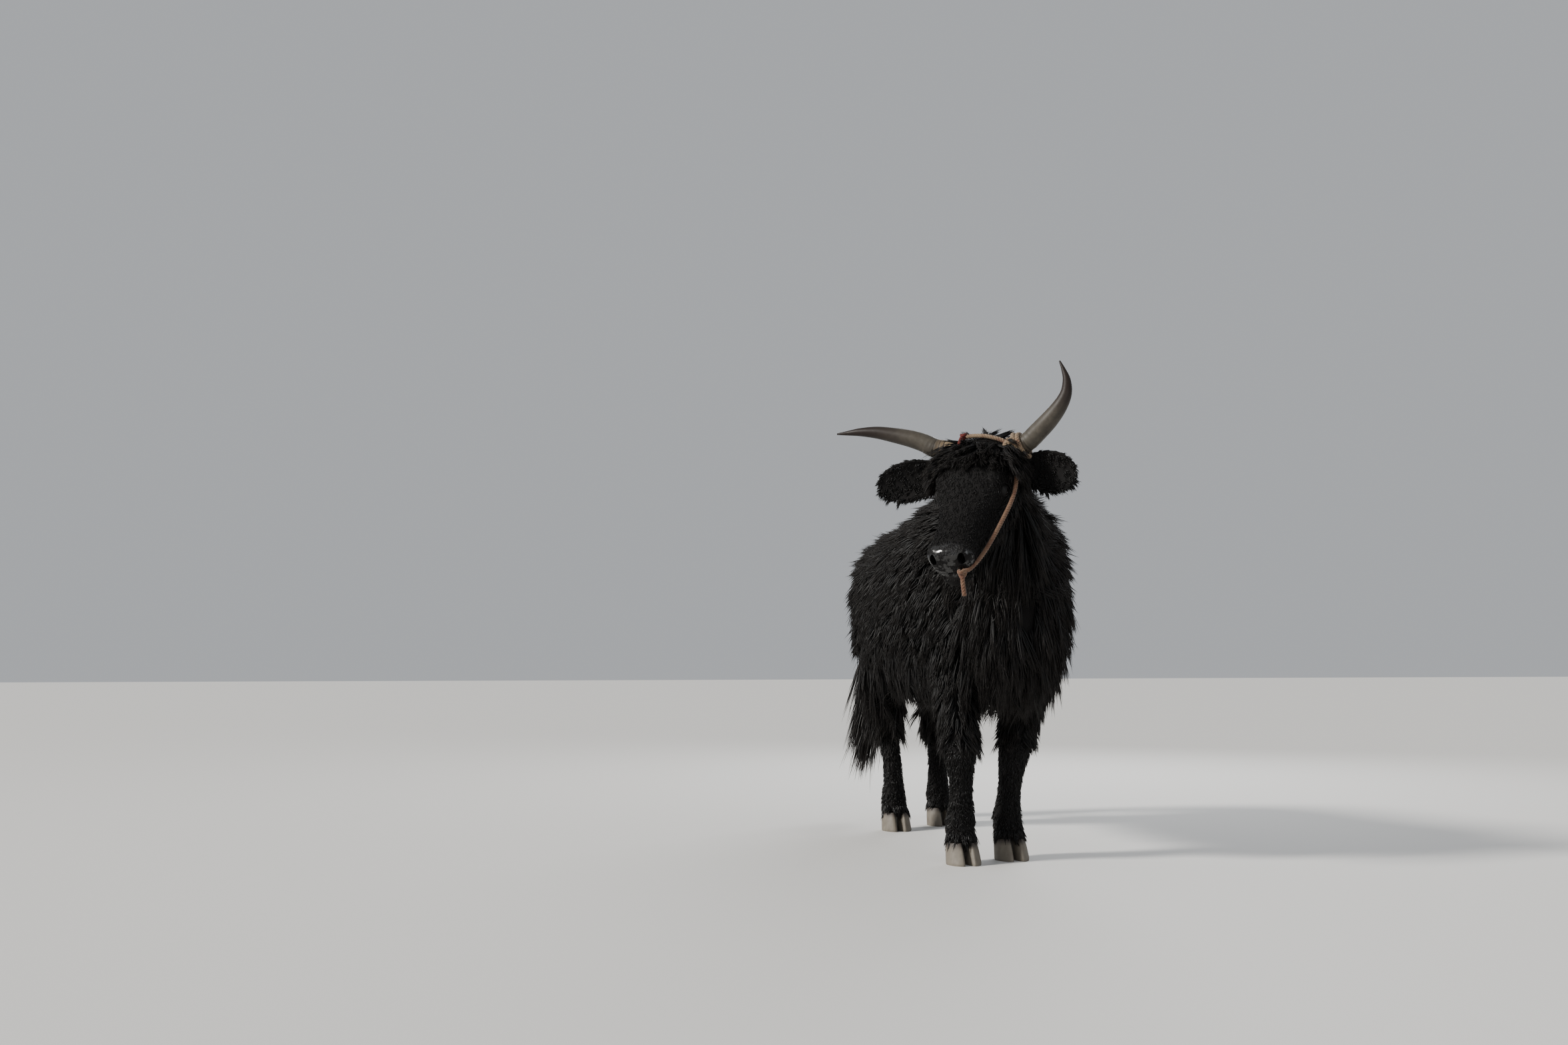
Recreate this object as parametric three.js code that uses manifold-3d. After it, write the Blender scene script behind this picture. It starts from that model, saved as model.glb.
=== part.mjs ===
// A domestic yak ox standing with its head up and turned to its right, at life size.
// Millimetres, +X towards the head, +Y to the animal's left, +Z up, on a floor at z = 0.
// The animal is laid out round a point on the floor between its feet, and the whole
// group is then shifted so that the middle of its bounding box stands over the origin.
import * as THREE from "three";
import { mergeVertices } from "three/addons/utils/BufferGeometryUtils.js";
import Module from "manifold-3d";

const wasm = await Module();
wasm.setup();

// Driving dimensions
const withersHeight = 1345; // top of the hump, under its coat
const bodyLength = 1520; // chest to pin bones
const headLength = 515; // poll to the front of the muzzle
const hoofHeight = 76;
const clawLength = 122;
const clawWidth = 56;
const clawSplit = 7; // between the two claws of a foot
const coreCoat = 28; // dense under-coat that the solids carry on the flesh
const gap = 0.4; // clearance left between touching pieces
const bodyShift = new THREE.Vector3(-31, 110, 0);

const vec = (x, y, z) => new THREE.Vector3(x, y, z);
const up = vec(0, 0, 1);
const forward = vec(1, 0, 0);
const leftward = vec(0, 1, 0);
const rad = THREE.MathUtils.degToRad;
const lerp = THREE.MathUtils.lerp;

// One seeded stream of random numbers, so that each build is the same
let seed = 20251;
function random() {
  seed = (seed + 0x6d2b79f5) | 0;
  let t = Math.imul(seed ^ (seed >>> 15), 1 | seed);
  t = (t + Math.imul(t ^ (t >>> 7), 61 | t)) ^ t;
  return ((t ^ (t >>> 14)) >>> 0) / 4294967296;
}
const vary = (amount) => (random() * 2 - 1) * amount;

// A closed skin over rings that all have the same number of points, with a fan on each end
function loftGeometry(rings, tip = null) {
  const around = rings[0].length;
  const points = rings.flat();
  const middle = (ring) =>
    ring.reduce((sum, p) => sum.add(p), vec(0, 0, 0)).divideScalar(around);
  const faces = [];
  for (let i = 0; i < rings.length - 1; i++) {
    for (let j = 0; j < around; j++) {
      const a = i * around + j;
      const b = i * around + ((j + 1) % around);
      faces.push(a, b, a + around, b, b + around, a + around);
    }
  }
  const last = (rings.length - 1) * around;
  points.push(middle(rings[0]), tip ?? middle(rings[rings.length - 1]));
  for (let j = 0; j < around; j++) {
    const k = (j + 1) % around;
    faces.push(last + around, k, j);
    faces.push(last + around + 1, last + j, last + k);
  }
  const geometry = new THREE.BufferGeometry().setFromPoints(points);
  return geometry.setIndex(faces);
}

// The closed solid of a geometry, with its faces turned outwards
function solidOf(geometry) {
  const bare = geometry.clone();
  bare.deleteAttribute("normal");
  bare.deleteAttribute("uv");
  const merged = mergeVertices(bare, 1e-3);
  const triVerts = new Uint32Array(merged.index.array);
  const vertProperties = new Float32Array(merged.attributes.position.array);
  const build = () =>
    new wasm.Manifold(new wasm.Mesh({ numProp: 3, vertProperties, triVerts }));
  const solid = build();
  if (solid.volume() > 0) return solid;
  for (let i = 0; i < triVerts.length; i += 3) {
    [triVerts[i + 1], triVerts[i + 2]] = [triVerts[i + 2], triVerts[i + 1]];
  }
  return build();
}

const loft = (rings, tip) => solidOf(loftGeometry(rings, tip));
const join = (solids) => wasm.Manifold.union(solids);

function largest(solid) {
  return solid.decompose().reduce((a, b) => (a.volume() > b.volume() ? a : b));
}

function geometryOf(solid) {
  const mesh = solid.getMesh();
  const positions = new Float32Array(mesh.numVert * 3);
  for (let i = 0; i < mesh.numVert; i++) {
    const from = i * mesh.numProp;
    positions.set(mesh.vertProperties.subarray(from, from + 3), i * 3);
  }
  const geometry = new THREE.BufferGeometry();
  geometry.setAttribute("position", new THREE.BufferAttribute(positions, 3));
  geometry.setIndex(new THREE.BufferAttribute(mesh.triVerts, 1));
  geometry.computeVertexNormals();
  return geometry;
}

// A limb or trunk as oval sections along a line. Each station has a centre, a half width,
// and its reach to the upper and the lower side of the section.
class Tube {
  constructor(stations, { heading = null, above = up, power = 2.2 } = {}) {
    this.last = stations.length - 1;
    this.heading = heading;
    this.above = above;
    this.power = power;
    this.line = new THREE.CatmullRomCurve3(stations.map((s) => s.centre));
    this.line.curveType = "catmullrom";
    this.sizes = new THREE.CubicInterpolant(
      Float32Array.from(stations, (s, i) => i),
      Float32Array.from(stations.flatMap((s) => [s.half, s.top, s.bottom])),
      3,
      new Float32Array(3),
    );
  }

  section(t) {
    const share = THREE.MathUtils.clamp(t / this.last, 0, 1);
    const along = this.heading ?? this.line.getTangent(share);
    const side = this.above.clone().cross(along).normalize();
    const top = along.clone().cross(side).normalize();
    const [half, reach, drop] = this.sizes.evaluate(share * this.last);
    return { centre: this.line.getPoint(share), along, side, up: top, half, reach, drop };
  }

  // A point of the section at an angle from its top, positive towards its left side
  point(t, angle, grow = 0) {
    const s = this.section(t);
    const bend = (v) => Math.sign(v) * Math.abs(v) ** (2 / this.power);
    const across = bend(Math.sin(angle)) * (s.half + grow);
    const c = Math.cos(angle);
    const rise = bend(c) * ((c > 0 ? s.reach : s.drop) + grow);
    return s.centre.addScaledVector(s.side, across).addScaledVector(s.up, rise);
  }

  normal(t, angle, grow = 0) {
    const step = 0.05;
    const round = this.point(t, angle + step, grow).sub(this.point(t, angle - step, grow));
    const far = Math.min(this.last, t + step);
    const near = Math.max(0, t - step);
    const along = this.point(far, angle, grow).sub(this.point(near, angle, grow));
    return along.cross(round).normalize();
  }

  ring(t, around, grow = 0) {
    const step = (Math.PI * 2) / around;
    return Array.from({ length: around }, (_, i) => this.point(t, i * step, grow));
  }

  solid(steps, around, grow = 0) {
    const rings = Array.from({ length: steps + 1 }, (_, i) =>
      this.ring((i / steps) * this.last, around, grow),
    );
    const push = (ring, t, sign) => {
      const { along } = this.section(t);
      ring.forEach((p) => p.addScaledVector(along, sign * grow));
    };
    push(rings[0], 0, -1);
    push(rings[steps], this.last, 1);
    return loft(rings);
  }

  // The station nearest to a point, as a share of the whole line
  nearest(p) {
    let best = 0;
    let least = Infinity;
    for (let i = 0; i <= this.last * 4; i++) {
      const s = this.section(i / 4);
      const off = Math.abs(p.clone().sub(s.centre).dot(s.along));
      if (off < least) [least, best] = [off, i / 4];
    }
    return best;
  }

  // Moves a point out of the section beside it until it stands clear by an offset
  push(p, offset) {
    const s = this.section(this.nearest(p));
    const from = p.clone().sub(s.centre);
    const far = from.dot(s.along);
    if (Math.abs(far) > 60) return p;
    const x = from.dot(s.side);
    const y = from.dot(s.up);
    const a = s.half + offset;
    const b = (y > 0 ? s.reach : s.drop) + offset;
    const n = this.power;
    const inside = ((Math.abs(x) / a) ** n + (Math.abs(y) / b) ** n) ** (1 / n);
    if (inside >= 1) return p;
    const out = 1 / Math.max(inside, 0.2);
    return s.centre
      .clone()
      .addScaledVector(s.along, far)
      .addScaledVector(s.side, x * out)
      .addScaledVector(s.up, y * out);
  }
}

// A flat lock of hair that leaves its root at a low angle, bends to hang, and tapers to its
// tip, with a ridge down its outer side. keep moves its line clear of the body beside it.
const lockWidths = [0.75, 1, 0.94, 0.6];
const lockDepths = [0.9, 1, 0.85, 0.55];
function lock(hair, grow = 0) {
  const { root, out, flow, length, width, depth, sink = 24, lift = 0.2, curl = 0 } = hair;
  const { hang = up.clone().negate(), settle = 0.35, keep = (p) => p } = hair;
  const across = out.clone().cross(flow).normalize();
  const heading = flow.clone().addScaledVector(out, lift).normalize();
  const turn = across.clone().multiplyScalar(curl);
  const steps = lockWidths.length;
  const spine = [root.clone().addScaledVector(out, -sink)];
  for (let i = 1; i <= steps; i++) {
    const stride = i === 1 ? sink + length * 0.16 : (length * 0.84) / (steps - 1);
    const next = spine[i - 1].clone().addScaledVector(heading, stride);
    spine.push(keep(next, depth * Math.min(0.9, i * 0.3)));
    heading.lerp(hang, settle).add(turn).normalize();
  }
  const rings = lockWidths.map((share, i) => {
    const along = spine[i + 1].clone().sub(spine[Math.max(0, i - 1)]).normalize();
    const face = along.clone().cross(across).normalize();
    const wide = (width / 2) * share + grow * 5;
    const ridge = (depth / 2) * lockDepths[i] + grow;
    return [
      spine[i].clone().addScaledVector(across, wide).addScaledVector(face, -ridge),
      spine[i].clone().addScaledVector(face, ridge * 1.4),
      spine[i].clone().addScaledVector(across, -wide).addScaledVector(face, -ridge),
    ];
  });
  return loft(rings, spine[steps].addScaledVector(heading, grow * 16));
}

// Torso: upright sections along X, from the pin bones to the point of the chest
const trunkRows = [
  { at: -0.52, top: 0.825, bottom: 0.714, half: 70, widest: 0.766 },
  { at: -0.48, top: 0.874, bottom: 0.595, half: 147, widest: 0.736 },
  { at: -0.4, top: 0.903, bottom: 0.52, half: 214, widest: 0.721 },
  { at: -0.28, top: 0.918, bottom: 0.483, half: 250, widest: 0.699 },
  { at: -0.14, top: 0.926, bottom: 0.457, half: 282, widest: 0.68 },
  { at: 0, top: 0.941, bottom: 0.445, half: 300, widest: 0.673 },
  { at: 0.12, top: 0.974, bottom: 0.445, half: 300, widest: 0.68 },
  { at: 0.22, top: 1, bottom: 0.448, half: 282, widest: 0.691 },
  { at: 0.31, top: 0.993, bottom: 0.454, half: 252, widest: 0.691 },
  { at: 0.39, top: 0.937, bottom: 0.467, half: 210, widest: 0.684 },
  { at: 0.45, top: 0.848, bottom: 0.506, half: 147, widest: 0.669 },
  { at: 0.485, top: 0.76, bottom: 0.565, half: 95, widest: 0.66 },
  { at: 0.5, top: 0.7, bottom: 0.62, half: 30, widest: 0.66 },
];
const trunk = new Tube(
  trunkRows.map((row) => ({
    centre: vec(row.at * bodyLength, 0, row.widest * withersHeight),
    half: row.half,
    top: (row.top - row.widest) * withersHeight,
    bottom: (row.widest - row.bottom) * withersHeight,
  })),
  { heading: forward, power: 2.4 },
);

// Head frame: the poll, the way down the face, the animal's left and the way out of the forehead
const poll = vec(745, -150, 1440);
const headTurn = rad(-42);
const faceDrop = rad(49);
const headTilt = rad(2.5);
const headFrame = new THREE.Matrix4()
  .makeRotationZ(headTurn)
  .multiply(new THREE.Matrix4().makeRotationY(faceDrop))
  .multiply(new THREE.Matrix4().makeRotationX(headTilt))
  .setPosition(poll);
const onHead = (along, left, out) => vec(along, left, out).applyMatrix4(headFrame);
const headWay = (along, left, out) => vec(along, left, out).transformDirection(headFrame);
// The same place with its forward and upward parts level with the floor, as for the horns
const levelFrame = new THREE.Matrix4().makeRotationZ(headTurn).setPosition(poll);
const byPoll = (ahead, left, rise) => vec(ahead, left, rise).applyMatrix4(levelFrame);

// Neck: from inside the shoulders to the back of the head
const neck = new Tube(
  [
    { centre: vec(400, 0, 1000), half: 215, top: 285, bottom: 280 },
    { centre: vec(540, -12, 1065), half: 172, top: 245, bottom: 205 },
    { centre: vec(630, -45, 1150), half: 138, top: 190, bottom: 150 },
    { centre: vec(690, -85, 1245), half: 112, top: 150, bottom: 112 },
    { centre: vec(722, -125, 1335), half: 92, top: 105, bottom: 95 },
  ],
  { above: vec(-0.35, 0.1, 1).normalize() },
);

// Head: sections square to the face line, each with its half width and its reach out of
// the forehead and down to the jaw
const headRows = [
  { at: -0.05, half: 94, out: 46, jaw: 66 },
  { at: 0, half: 118, out: 64, jaw: 106 },
  { at: 0.07, half: 129, out: 66, jaw: 150 },
  { at: 0.16, half: 136, out: 62, jaw: 185 },
  { at: 0.26, half: 138, out: 55, jaw: 200 },
  { at: 0.35, half: 130, out: 44, jaw: 205 },
  { at: 0.45, half: 108, out: 32, jaw: 192 },
  { at: 0.56, half: 88, out: 22, jaw: 165 },
  { at: 0.67, half: 77, out: 16, jaw: 140 },
  { at: 0.78, half: 74, out: 15, jaw: 122 },
  { at: 0.87, half: 79, out: 19, jaw: 118 },
  { at: 0.94, half: 79, out: 15, jaw: 115 },
  { at: 0.985, half: 66, out: 2, jaw: 104 },
  { at: 1, half: 46, out: -14, jaw: 88 },
];
const jawDepth = 0.42; // where the widest line runs, as a share of the depth below the forehead
const skull = new Tube(
  headRows.map((row) => {
    const low = (row.jaw - row.out) * jawDepth * 0.5;
    return {
      centre: onHead(row.at * headLength, 0, -low),
      half: row.half,
      top: row.out + low,
      bottom: row.jaw - low,
    };
  }),
  { heading: headWay(1, 0, 0), above: headWay(0, 0, 1), power: 2.35 },
);

const root = new THREE.Group();
root.position.copy(bodyShift);

const materials = {
  coat: new THREE.MeshStandardMaterial({ color: 0x15130f, roughness: 0.8 }),
  horn: new THREE.MeshStandardMaterial({ color: 0x8f8672, roughness: 0.45 }),
  hoof: new THREE.MeshStandardMaterial({ color: 0xb4aa90, roughness: 0.6 }),
  eye: new THREE.MeshStandardMaterial({ color: 0x120c08, roughness: 0.08 }),
  rope: new THREE.MeshStandardMaterial({ color: 0xb79f7c, roughness: 0.9 }),
  ribbon: new THREE.MeshStandardMaterial({ color: 0x8c2a20, roughness: 0.85 }),
};

// Adds a solid as one named mesh
function place(name, solid, material) {
  const mesh = new THREE.Mesh(geometryOf(largest(solid)), material);
  mesh.name = name;
  root.add(mesh);
}

// Legs: level sections from inside the body down to the coronet
const legRows = {
  front: [
    { z: 860, half: 78, fore: 95, back: 95 },
    { z: 700, half: 72, fore: 84, back: 88 },
    { z: 560, half: 60, fore: 62, back: 68 },
    { z: 450, half: 52, fore: 52, back: 52 },
    { z: 380, half: 55, fore: 56, back: 50 },
    { z: 310, half: 43, fore: 42, back: 42 },
    { z: 225, half: 39, fore: 37, back: 41 },
    { z: 150, half: 50, fore: 45, back: 54 },
    { z: 104, half: 49, fore: 48, back: 46 },
    { z: hoofHeight + gap, half: 54, fore: 51, back: 50 },
  ],
  hind: [
    { z: 860, half: 100, fore: 150, back: 150 },
    { z: 700, half: 90, fore: 118, back: 118 },
    { z: 580, half: 66, fore: 72, back: 84 },
    { z: 500, half: 50, fore: 52, back: 62 },
    { z: 445, half: 46, fore: 48, back: 58 },
    { z: 380, half: 40, fore: 42, back: 44 },
    { z: 290, half: 37, fore: 38, back: 39 },
    { z: 200, half: 39, fore: 39, back: 42 },
    { z: 140, half: 48, fore: 45, back: 52 },
    { z: 104, half: 48, fore: 47, back: 46 },
    { z: hoofHeight + gap, half: 54, fore: 51, back: 50 },
  ],
};
// Where each hoof pair stands, and the line of its leg as offsets from there
const legs = {
  front_right: {
    kind: "front",
    foot: vec(566, -167, 0),
    line: [
      [-96, 20], [-76, 6], [-52, -2], [-36, -2], [-30, 0],
      [-36, 4], [-42, 8], [-42, 4], [-32, 0], [-25, 0],
    ],
  },
  front_left: {
    kind: "front",
    foot: vec(493, 43, 0),
    line: [
      [-30, 110], [-22, 98], [-22, 66], [-24, 36], [-22, 22],
      [-32, 14], [-40, 6], [-42, 0], [-32, 0], [-25, 0],
    ],
  },
  hind_right: {
    kind: "hind",
    foot: vec(-458, -94, 0),
    line: [
      [-20, -50], [-28, -48], [-62, -34], [-96, -22], [-100, -18],
      [-84, -8], [-64, 0], [-50, 2], [-42, 0], [-32, 0], [-25, 0],
    ],
  },
  hind_left: {
    kind: "hind",
    foot: vec(-602, 154, 0),
    line: [
      [100, 0], [80, 0], [16, 0], [-38, 0], [-54, 0],
      [-52, 0], [-48, 0], [-44, 0], [-42, 0], [-32, 0], [-25, 0],
    ],
  },
};
for (const leg of Object.values(legs)) {
  leg.tube = new Tube(
    legRows[leg.kind].map((row, i) => ({
      centre: vec(leg.foot.x + leg.line[i][0], leg.foot.y + leg.line[i][1], row.z),
      half: row.half,
      top: row.fore,
      bottom: row.back,
    })),
    { heading: up.clone().negate(), above: forward },
  );
}

// Hooves: two claws a foot, each a wall that leans back from a flat sole
const clawRows = [
  { z: 0, scale: 1, back: 0 },
  { z: 12, scale: 1, back: 3 },
  { z: 45, scale: 0.93, back: 14 },
  { z: hoofHeight, scale: 0.82, back: 25 },
];
function clawRing(row, side, grow) {
  const around = 10;
  return Array.from({ length: around }, (_, i) => {
    const angle = (i / around) * Math.PI * 2;
    const ahead = Math.cos(angle);
    const out = Math.sin(angle);
    const long = (clawLength / 2) * row.scale + grow;
    const wide = clawWidth * row.scale * (ahead > 0 ? 1 - 0.32 * ahead ** 2 : 1);
    // The inner side is nearly straight and faces the other claw
    const across = out > 0 ? out * wide * 0.72 : out * wide * 0.28 + out * 2;
    const z = row.z + (row.z === 0 ? -grow : row.z === hoofHeight ? grow : 0);
    const middle = clawWidth * 0.28 + clawSplit / 2 + 2;
    return vec(ahead * long - row.back, side * (middle + across + Math.sign(out) * grow), z);
  });
}
function claw(leg, side, grow = 0) {
  const rings = clawRows.map((row) => clawRing(row, side, grow));
  return loft(rings).translate([leg.foot.x, leg.foot.y, 0]);
}

// Hair on the legs: locks down the back and sides of the forearm and the second thigh
const legHair = {
  front: [
    { t: 1.1, angles: [85, 145, 205, 265], length: 210, width: 104 },
    { t: 2.15, angles: [150, 215], length: 175, width: 84 },
  ],
  hind: [
    { t: 1.2, angles: [85, 145, 205, 265], length: 225, width: 118 },
    { t: 2.25, angles: [150, 215], length: 165, width: 90 },
  ],
};
function hairOfLeg(leg) {
  return legHair[leg.kind].flatMap(({ t, angles, length, width }) =>
    angles.map((degrees) => {
      const angle = rad(degrees + vary(8));
      const at = t + vary(0.12);
      return {
        root: leg.tube.point(at, angle),
        out: leg.tube.normal(at, angle),
        flow: vec(-0.1 + vary(0.08), vary(0.1), -1).normalize(),
        length: length * (1 + vary(0.14)),
        width,
        depth: 18,
        sink: 16,
        lift: 0.22,
        curl: vary(0.05),
        keep: (p, offset) => leg.tube.push(p, offset),
      };
    }),
  );
}
const dewclaw = (leg, side, grow) =>
  solidOf(
    new THREE.SphereGeometry(13 + grow, 7, 4)
      .scale(1, 1, 1.5)
      .translate(leg.foot.x - 84, leg.foot.y + side * 27, 112),
  );

// Tail: a dock that hangs from between the pin bones, under long hair that swings to the right
const tailRoot = vec(-745, 0, 1075);
const dock = new Tube(
  [
    { centre: vec(-700, 0, 1085), half: 38, top: 38, bottom: 38 },
    { centre: vec(-815, -2, 1062), half: 38, top: 38, bottom: 38 },
    { centre: vec(-865, -14, 960), half: 38, top: 36, bottom: 36 },
    { centre: vec(-880, -34, 820), half: 38, top: 34, bottom: 34 },
    { centre: vec(-884, -56, 680), half: 34, top: 30, bottom: 30 },
    { centre: vec(-888, -76, 560), half: 24, top: 22, bottom: 22 },
  ],
  { above: forward, power: 2 },
);
const tailTiers = [
  { t: 1.4, count: 4, length: 350, width: 96 },
  { t: 2.3, count: 4, length: 400, width: 94 },
  { t: 3.2, count: 4, length: 420, width: 88 },
  { t: 4.2, count: 4, length: 400, width: 74 },
];
const tailHair = tailTiers.flatMap(({ t, count, length, width }, tier) =>
  Array.from({ length: count }, (_, i) => {
    const angle = ((i + (tier % 2) / 2) / count) * Math.PI * 2 + vary(0.12);
    return {
      root: dock.point(t, angle),
      out: dock.normal(t, angle),
      flow: vec(-0.05, -0.16, -1).normalize(),
      hang: vec(vary(0.07), -0.16 + vary(0.16), -1).normalize(),
      length: length * (1 + vary(0.1)),
      width,
      depth: 20,
      sink: 14,
      lift: 0.22,
      curl: vary(0.04),
    };
  }),
);

// Locks over the trunk in tiers, each tier at an angle from the back down to the belly
const trunkTiers = [
  { angle: 38, length: 255, width: 172, back: 0.7 },
  { angle: 72, length: 275, width: 168, back: 0.32 },
  { angle: 104, length: 275, width: 158, back: 0.16 },
  { angle: 134, length: 225, width: 142, back: 0.08 },
];
const lockPitch = 184;
function hairOfTrunk(t, turn, flow, length, width) {
  return {
    root: trunk.point(t, turn, coreCoat),
    out: trunk.normal(t, turn, coreCoat),
    flow,
    length: length * (1 + vary(0.12)),
    width: width * (1 + vary(0.08)),
    depth: 26,
    settle: 0.3,
    curl: vary(0.05),
    keep: (p, offset) => trunk.push(p, coreCoat + offset),
  };
}
const trunkHair = trunkTiers.flatMap(({ angle, length, width, back }, tier) =>
  [-1, 1].flatMap((side) => {
    const hairs = [];
    const start = -0.46 * bodyLength + (tier % 2) * lockPitch * 0.5;
    for (let x = start; x < 0.44 * bodyLength; x += lockPitch) {
      const t = trunk.nearest(vec(x + vary(12), 0, 900));
      const turn = side * rad(angle + vary(4));
      const down = trunk.point(t, turn + side * 0.12).sub(trunk.point(t, turn)).normalize();
      const flow = down.addScaledVector(forward, -back).normalize();
      hairs.push(hairOfTrunk(t, turn, flow, length, width));
    }
    return hairs;
  }),
);

// The long fringe of the chest, which hangs before and between the forelegs
const chestRows = [
  { t: 11.8, angles: [30, 110, 250, 330], length: 230, width: 124 },
  { t: 10.7, angles: [105, 155, 205, 255], length: 250, width: 130 },
  { t: 9.6, angles: [130, 180, 230], length: 240, width: 124 },
  { t: 8.8, angles: [165, 195], length: 180, width: 110 },
];
const chestHair = chestRows.flatMap(({ t, angles, length, width }) =>
  angles.map((degrees) => {
    const flow = vec(0, vary(0.08), -1).normalize();
    return hairOfTrunk(t, rad(degrees + vary(4)), flow, length, width);
  }),
);

// Neck: a short mane along the crest, shaggy sides and a long fringe under the throat
const neckTiers = [
  { angle: 28, length: 205, width: 138, settle: 0.22 },
  { angle: 64, length: 225, width: 138, settle: 0.3 },
  { angle: 100, length: 255, width: 128, settle: 0.4 },
  { angle: 140, length: 290, width: 118, settle: 0.5 },
];
const neckHair = neckTiers.flatMap(({ angle, length, width, settle }, tier) =>
  [-1, 1].flatMap((side) =>
    [1.7, 2.9].map((place) => {
      const t = place + (tier % 2) * 0.55;
      const turn = side * rad(angle + vary(5));
      const down = neck.point(t, turn + side * 0.15).sub(neck.point(t, turn)).normalize();
      return {
        root: neck.point(t, turn, coreCoat),
        out: neck.normal(t, turn, coreCoat),
        flow: down.addScaledVector(neck.section(t).along, -0.7).normalize(),
        length: length * (1 + vary(0.12)),
        width,
        depth: 24,
        settle,
        curl: vary(0.05),
        keep: (p, offset) => neck.push(p, coreCoat + offset),
      };
    }),
  ),
);

const steps = { trunk: [16, 16], neck: [5, 12], head: [13, 14], leg: [10, 9], dock: [5, 7] };
const lockAll = (hairs, grow = 0) => hairs.map((hair) => lock(hair, grow * 1.5));

// Eyes, brows, nose and mouth, on both sides of the face line
const bothSides = (shape) => [-1, 1].map(shape);
function ball(centre, [long, wide, tall], grow = 0) {
  const geometry = new THREE.SphereGeometry(1, 9, 5);
  geometry.scale(long + grow, wide + grow, tall + grow).translate(...centre);
  return solidOf(geometry.applyMatrix4(headFrame));
}
const eyeAt = (side) => [182, side * 114, -24];
const eyeRadius = 19;
const eyeball = (side, grow = 0) => ball(eyeAt(side), [eyeRadius, eyeRadius, eyeRadius], grow);
function eyelid(side) {
  const ring = new THREE.TorusGeometry(19, 6, 4, 9).scale(1.25, 1, 1);
  ring.rotateX(Math.PI / 2).rotateZ(side * rad(14));
  const [along, left, out] = eyeAt(side);
  return solidOf(ring.translate(along, left + side * 9, out).applyMatrix4(headFrame));
}
const faceSwells = (side) => [
  ball([142, side * 88, 18], [56, 36, 26]), // brow
  ball([470, side * 48, -22], [36, 32, 32]), // wing of the nose
  eyelid(side),
];
const nostril = (side) => ball([497, side * 49, -16], [26, 14, 20]);
const chin = ball([486, 0, -98], [42, 50, 30]);
// The mouth is a thin curved slot that runs back from the lips along each cheek
function mouthSlot() {
  const rings = [-1, -0.6, 0, 0.6, 1].map((x) => {
    const back = 372 + 6 * Math.abs(x);
    const drop = -74 - 4 * Math.abs(x);
    return [
      onHead(back, x * 110, drop - 2),
      onHead(580, x * 110, -72 - 2),
      onHead(580, x * 110, -72 + 2),
      onHead(back, x * 110, drop + 2),
    ];
  });
  return loft(rings).subtract(skull.solid(...steps.head, -13));
}

// Horns: round, tapered, each with growth rings round its base
const hornRows = {
  right: [
    [0, -82, 10, 33], [0, -130, 18, 34], [5, -175, 28, 34], [10, -211, 47, 33],
    [20, -259, 65, 31], [30, -321, 81, 27], [40, -384, 94, 22], [50, -447, 99, 15],
    [55, -500, 98, 8], [60, -534, 97, 3],
  ],
  left: [
    [0, 86, 6, 33], [0, 130, 12, 33], [4, 172, 27, 33], [10, 209, 56, 33],
    [20, 255, 94, 31], [20, 292, 137, 26], [20, 315, 180, 20], [10, 315, 226, 14],
    [0, 302, 264, 8], [-10, 286, 297, 3],
  ],
};
function horn(side, grow = 0) {
  const rows = hornRows[side];
  const line = new THREE.CatmullRomCurve3(rows.map(([h, l, u]) => byPoll(h, l, u)));
  const count = 13;
  const frames = line.computeFrenetFrames(count);
  const rings = frames.tangents.map((_, i) => {
    const share = (i / count) * (rows.length - 1);
    const low = Math.min(rows.length - 2, Math.floor(share));
    const rib = i > 2 && i < 7 && i % 2 === 1 ? 1.6 : 0;
    const radius = lerp(rows[low][3], rows[low + 1][3], share - low) + rib + grow;
    return Array.from({ length: 10 }, (_, j) => {
      const angle = (j / 10) * Math.PI * 2;
      const middle = line.getPointAt(i / count);
      middle.addScaledVector(frames.normals[i], Math.cos(angle) * radius);
      return middle.addScaledVector(frames.binormals[i], Math.sin(angle) * radius);
    });
  });
  rings[0].forEach((p) => p.addScaledVector(frames.tangents[0], -grow));
  return loft(rings, line.getPoint(1).addScaledVector(frames.tangents[count], 7 + grow * 3));
}

// Ears: hairy leaves that stand out sideways, hollowed on the side that faces forward
const earRows = [
  { at: -0.1, width: 60, cup: 22 },
  { at: 0.1, width: 84, cup: 28 },
  { at: 0.3, width: 126, cup: 33 },
  { at: 0.52, width: 150, cup: 32 },
  { at: 0.74, width: 140, cup: 26 },
  { at: 0.9, width: 104, cup: 19 },
  { at: 0.99, width: 54, cup: 12 },
];
const ears = {
  right: { base: [-22, -116, -58], tip: [34, -382, -102], open: [1, -0.25, -0.15] },
  left: { base: [-22, 116, -58], tip: [-20, 332, -92], open: [1, 0.35, -0.1] },
};
function earFrame({ base, tip, open }) {
  const from = byPoll(...base);
  const along = byPoll(...tip).sub(from);
  const length = along.length();
  along.normalize();
  const facing = byPoll(...open).sub(poll);
  facing.addScaledVector(along, -facing.dot(along)).normalize();
  const across = along.clone().cross(facing).normalize();
  return { from, along, length, facing, across };
}
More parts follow.
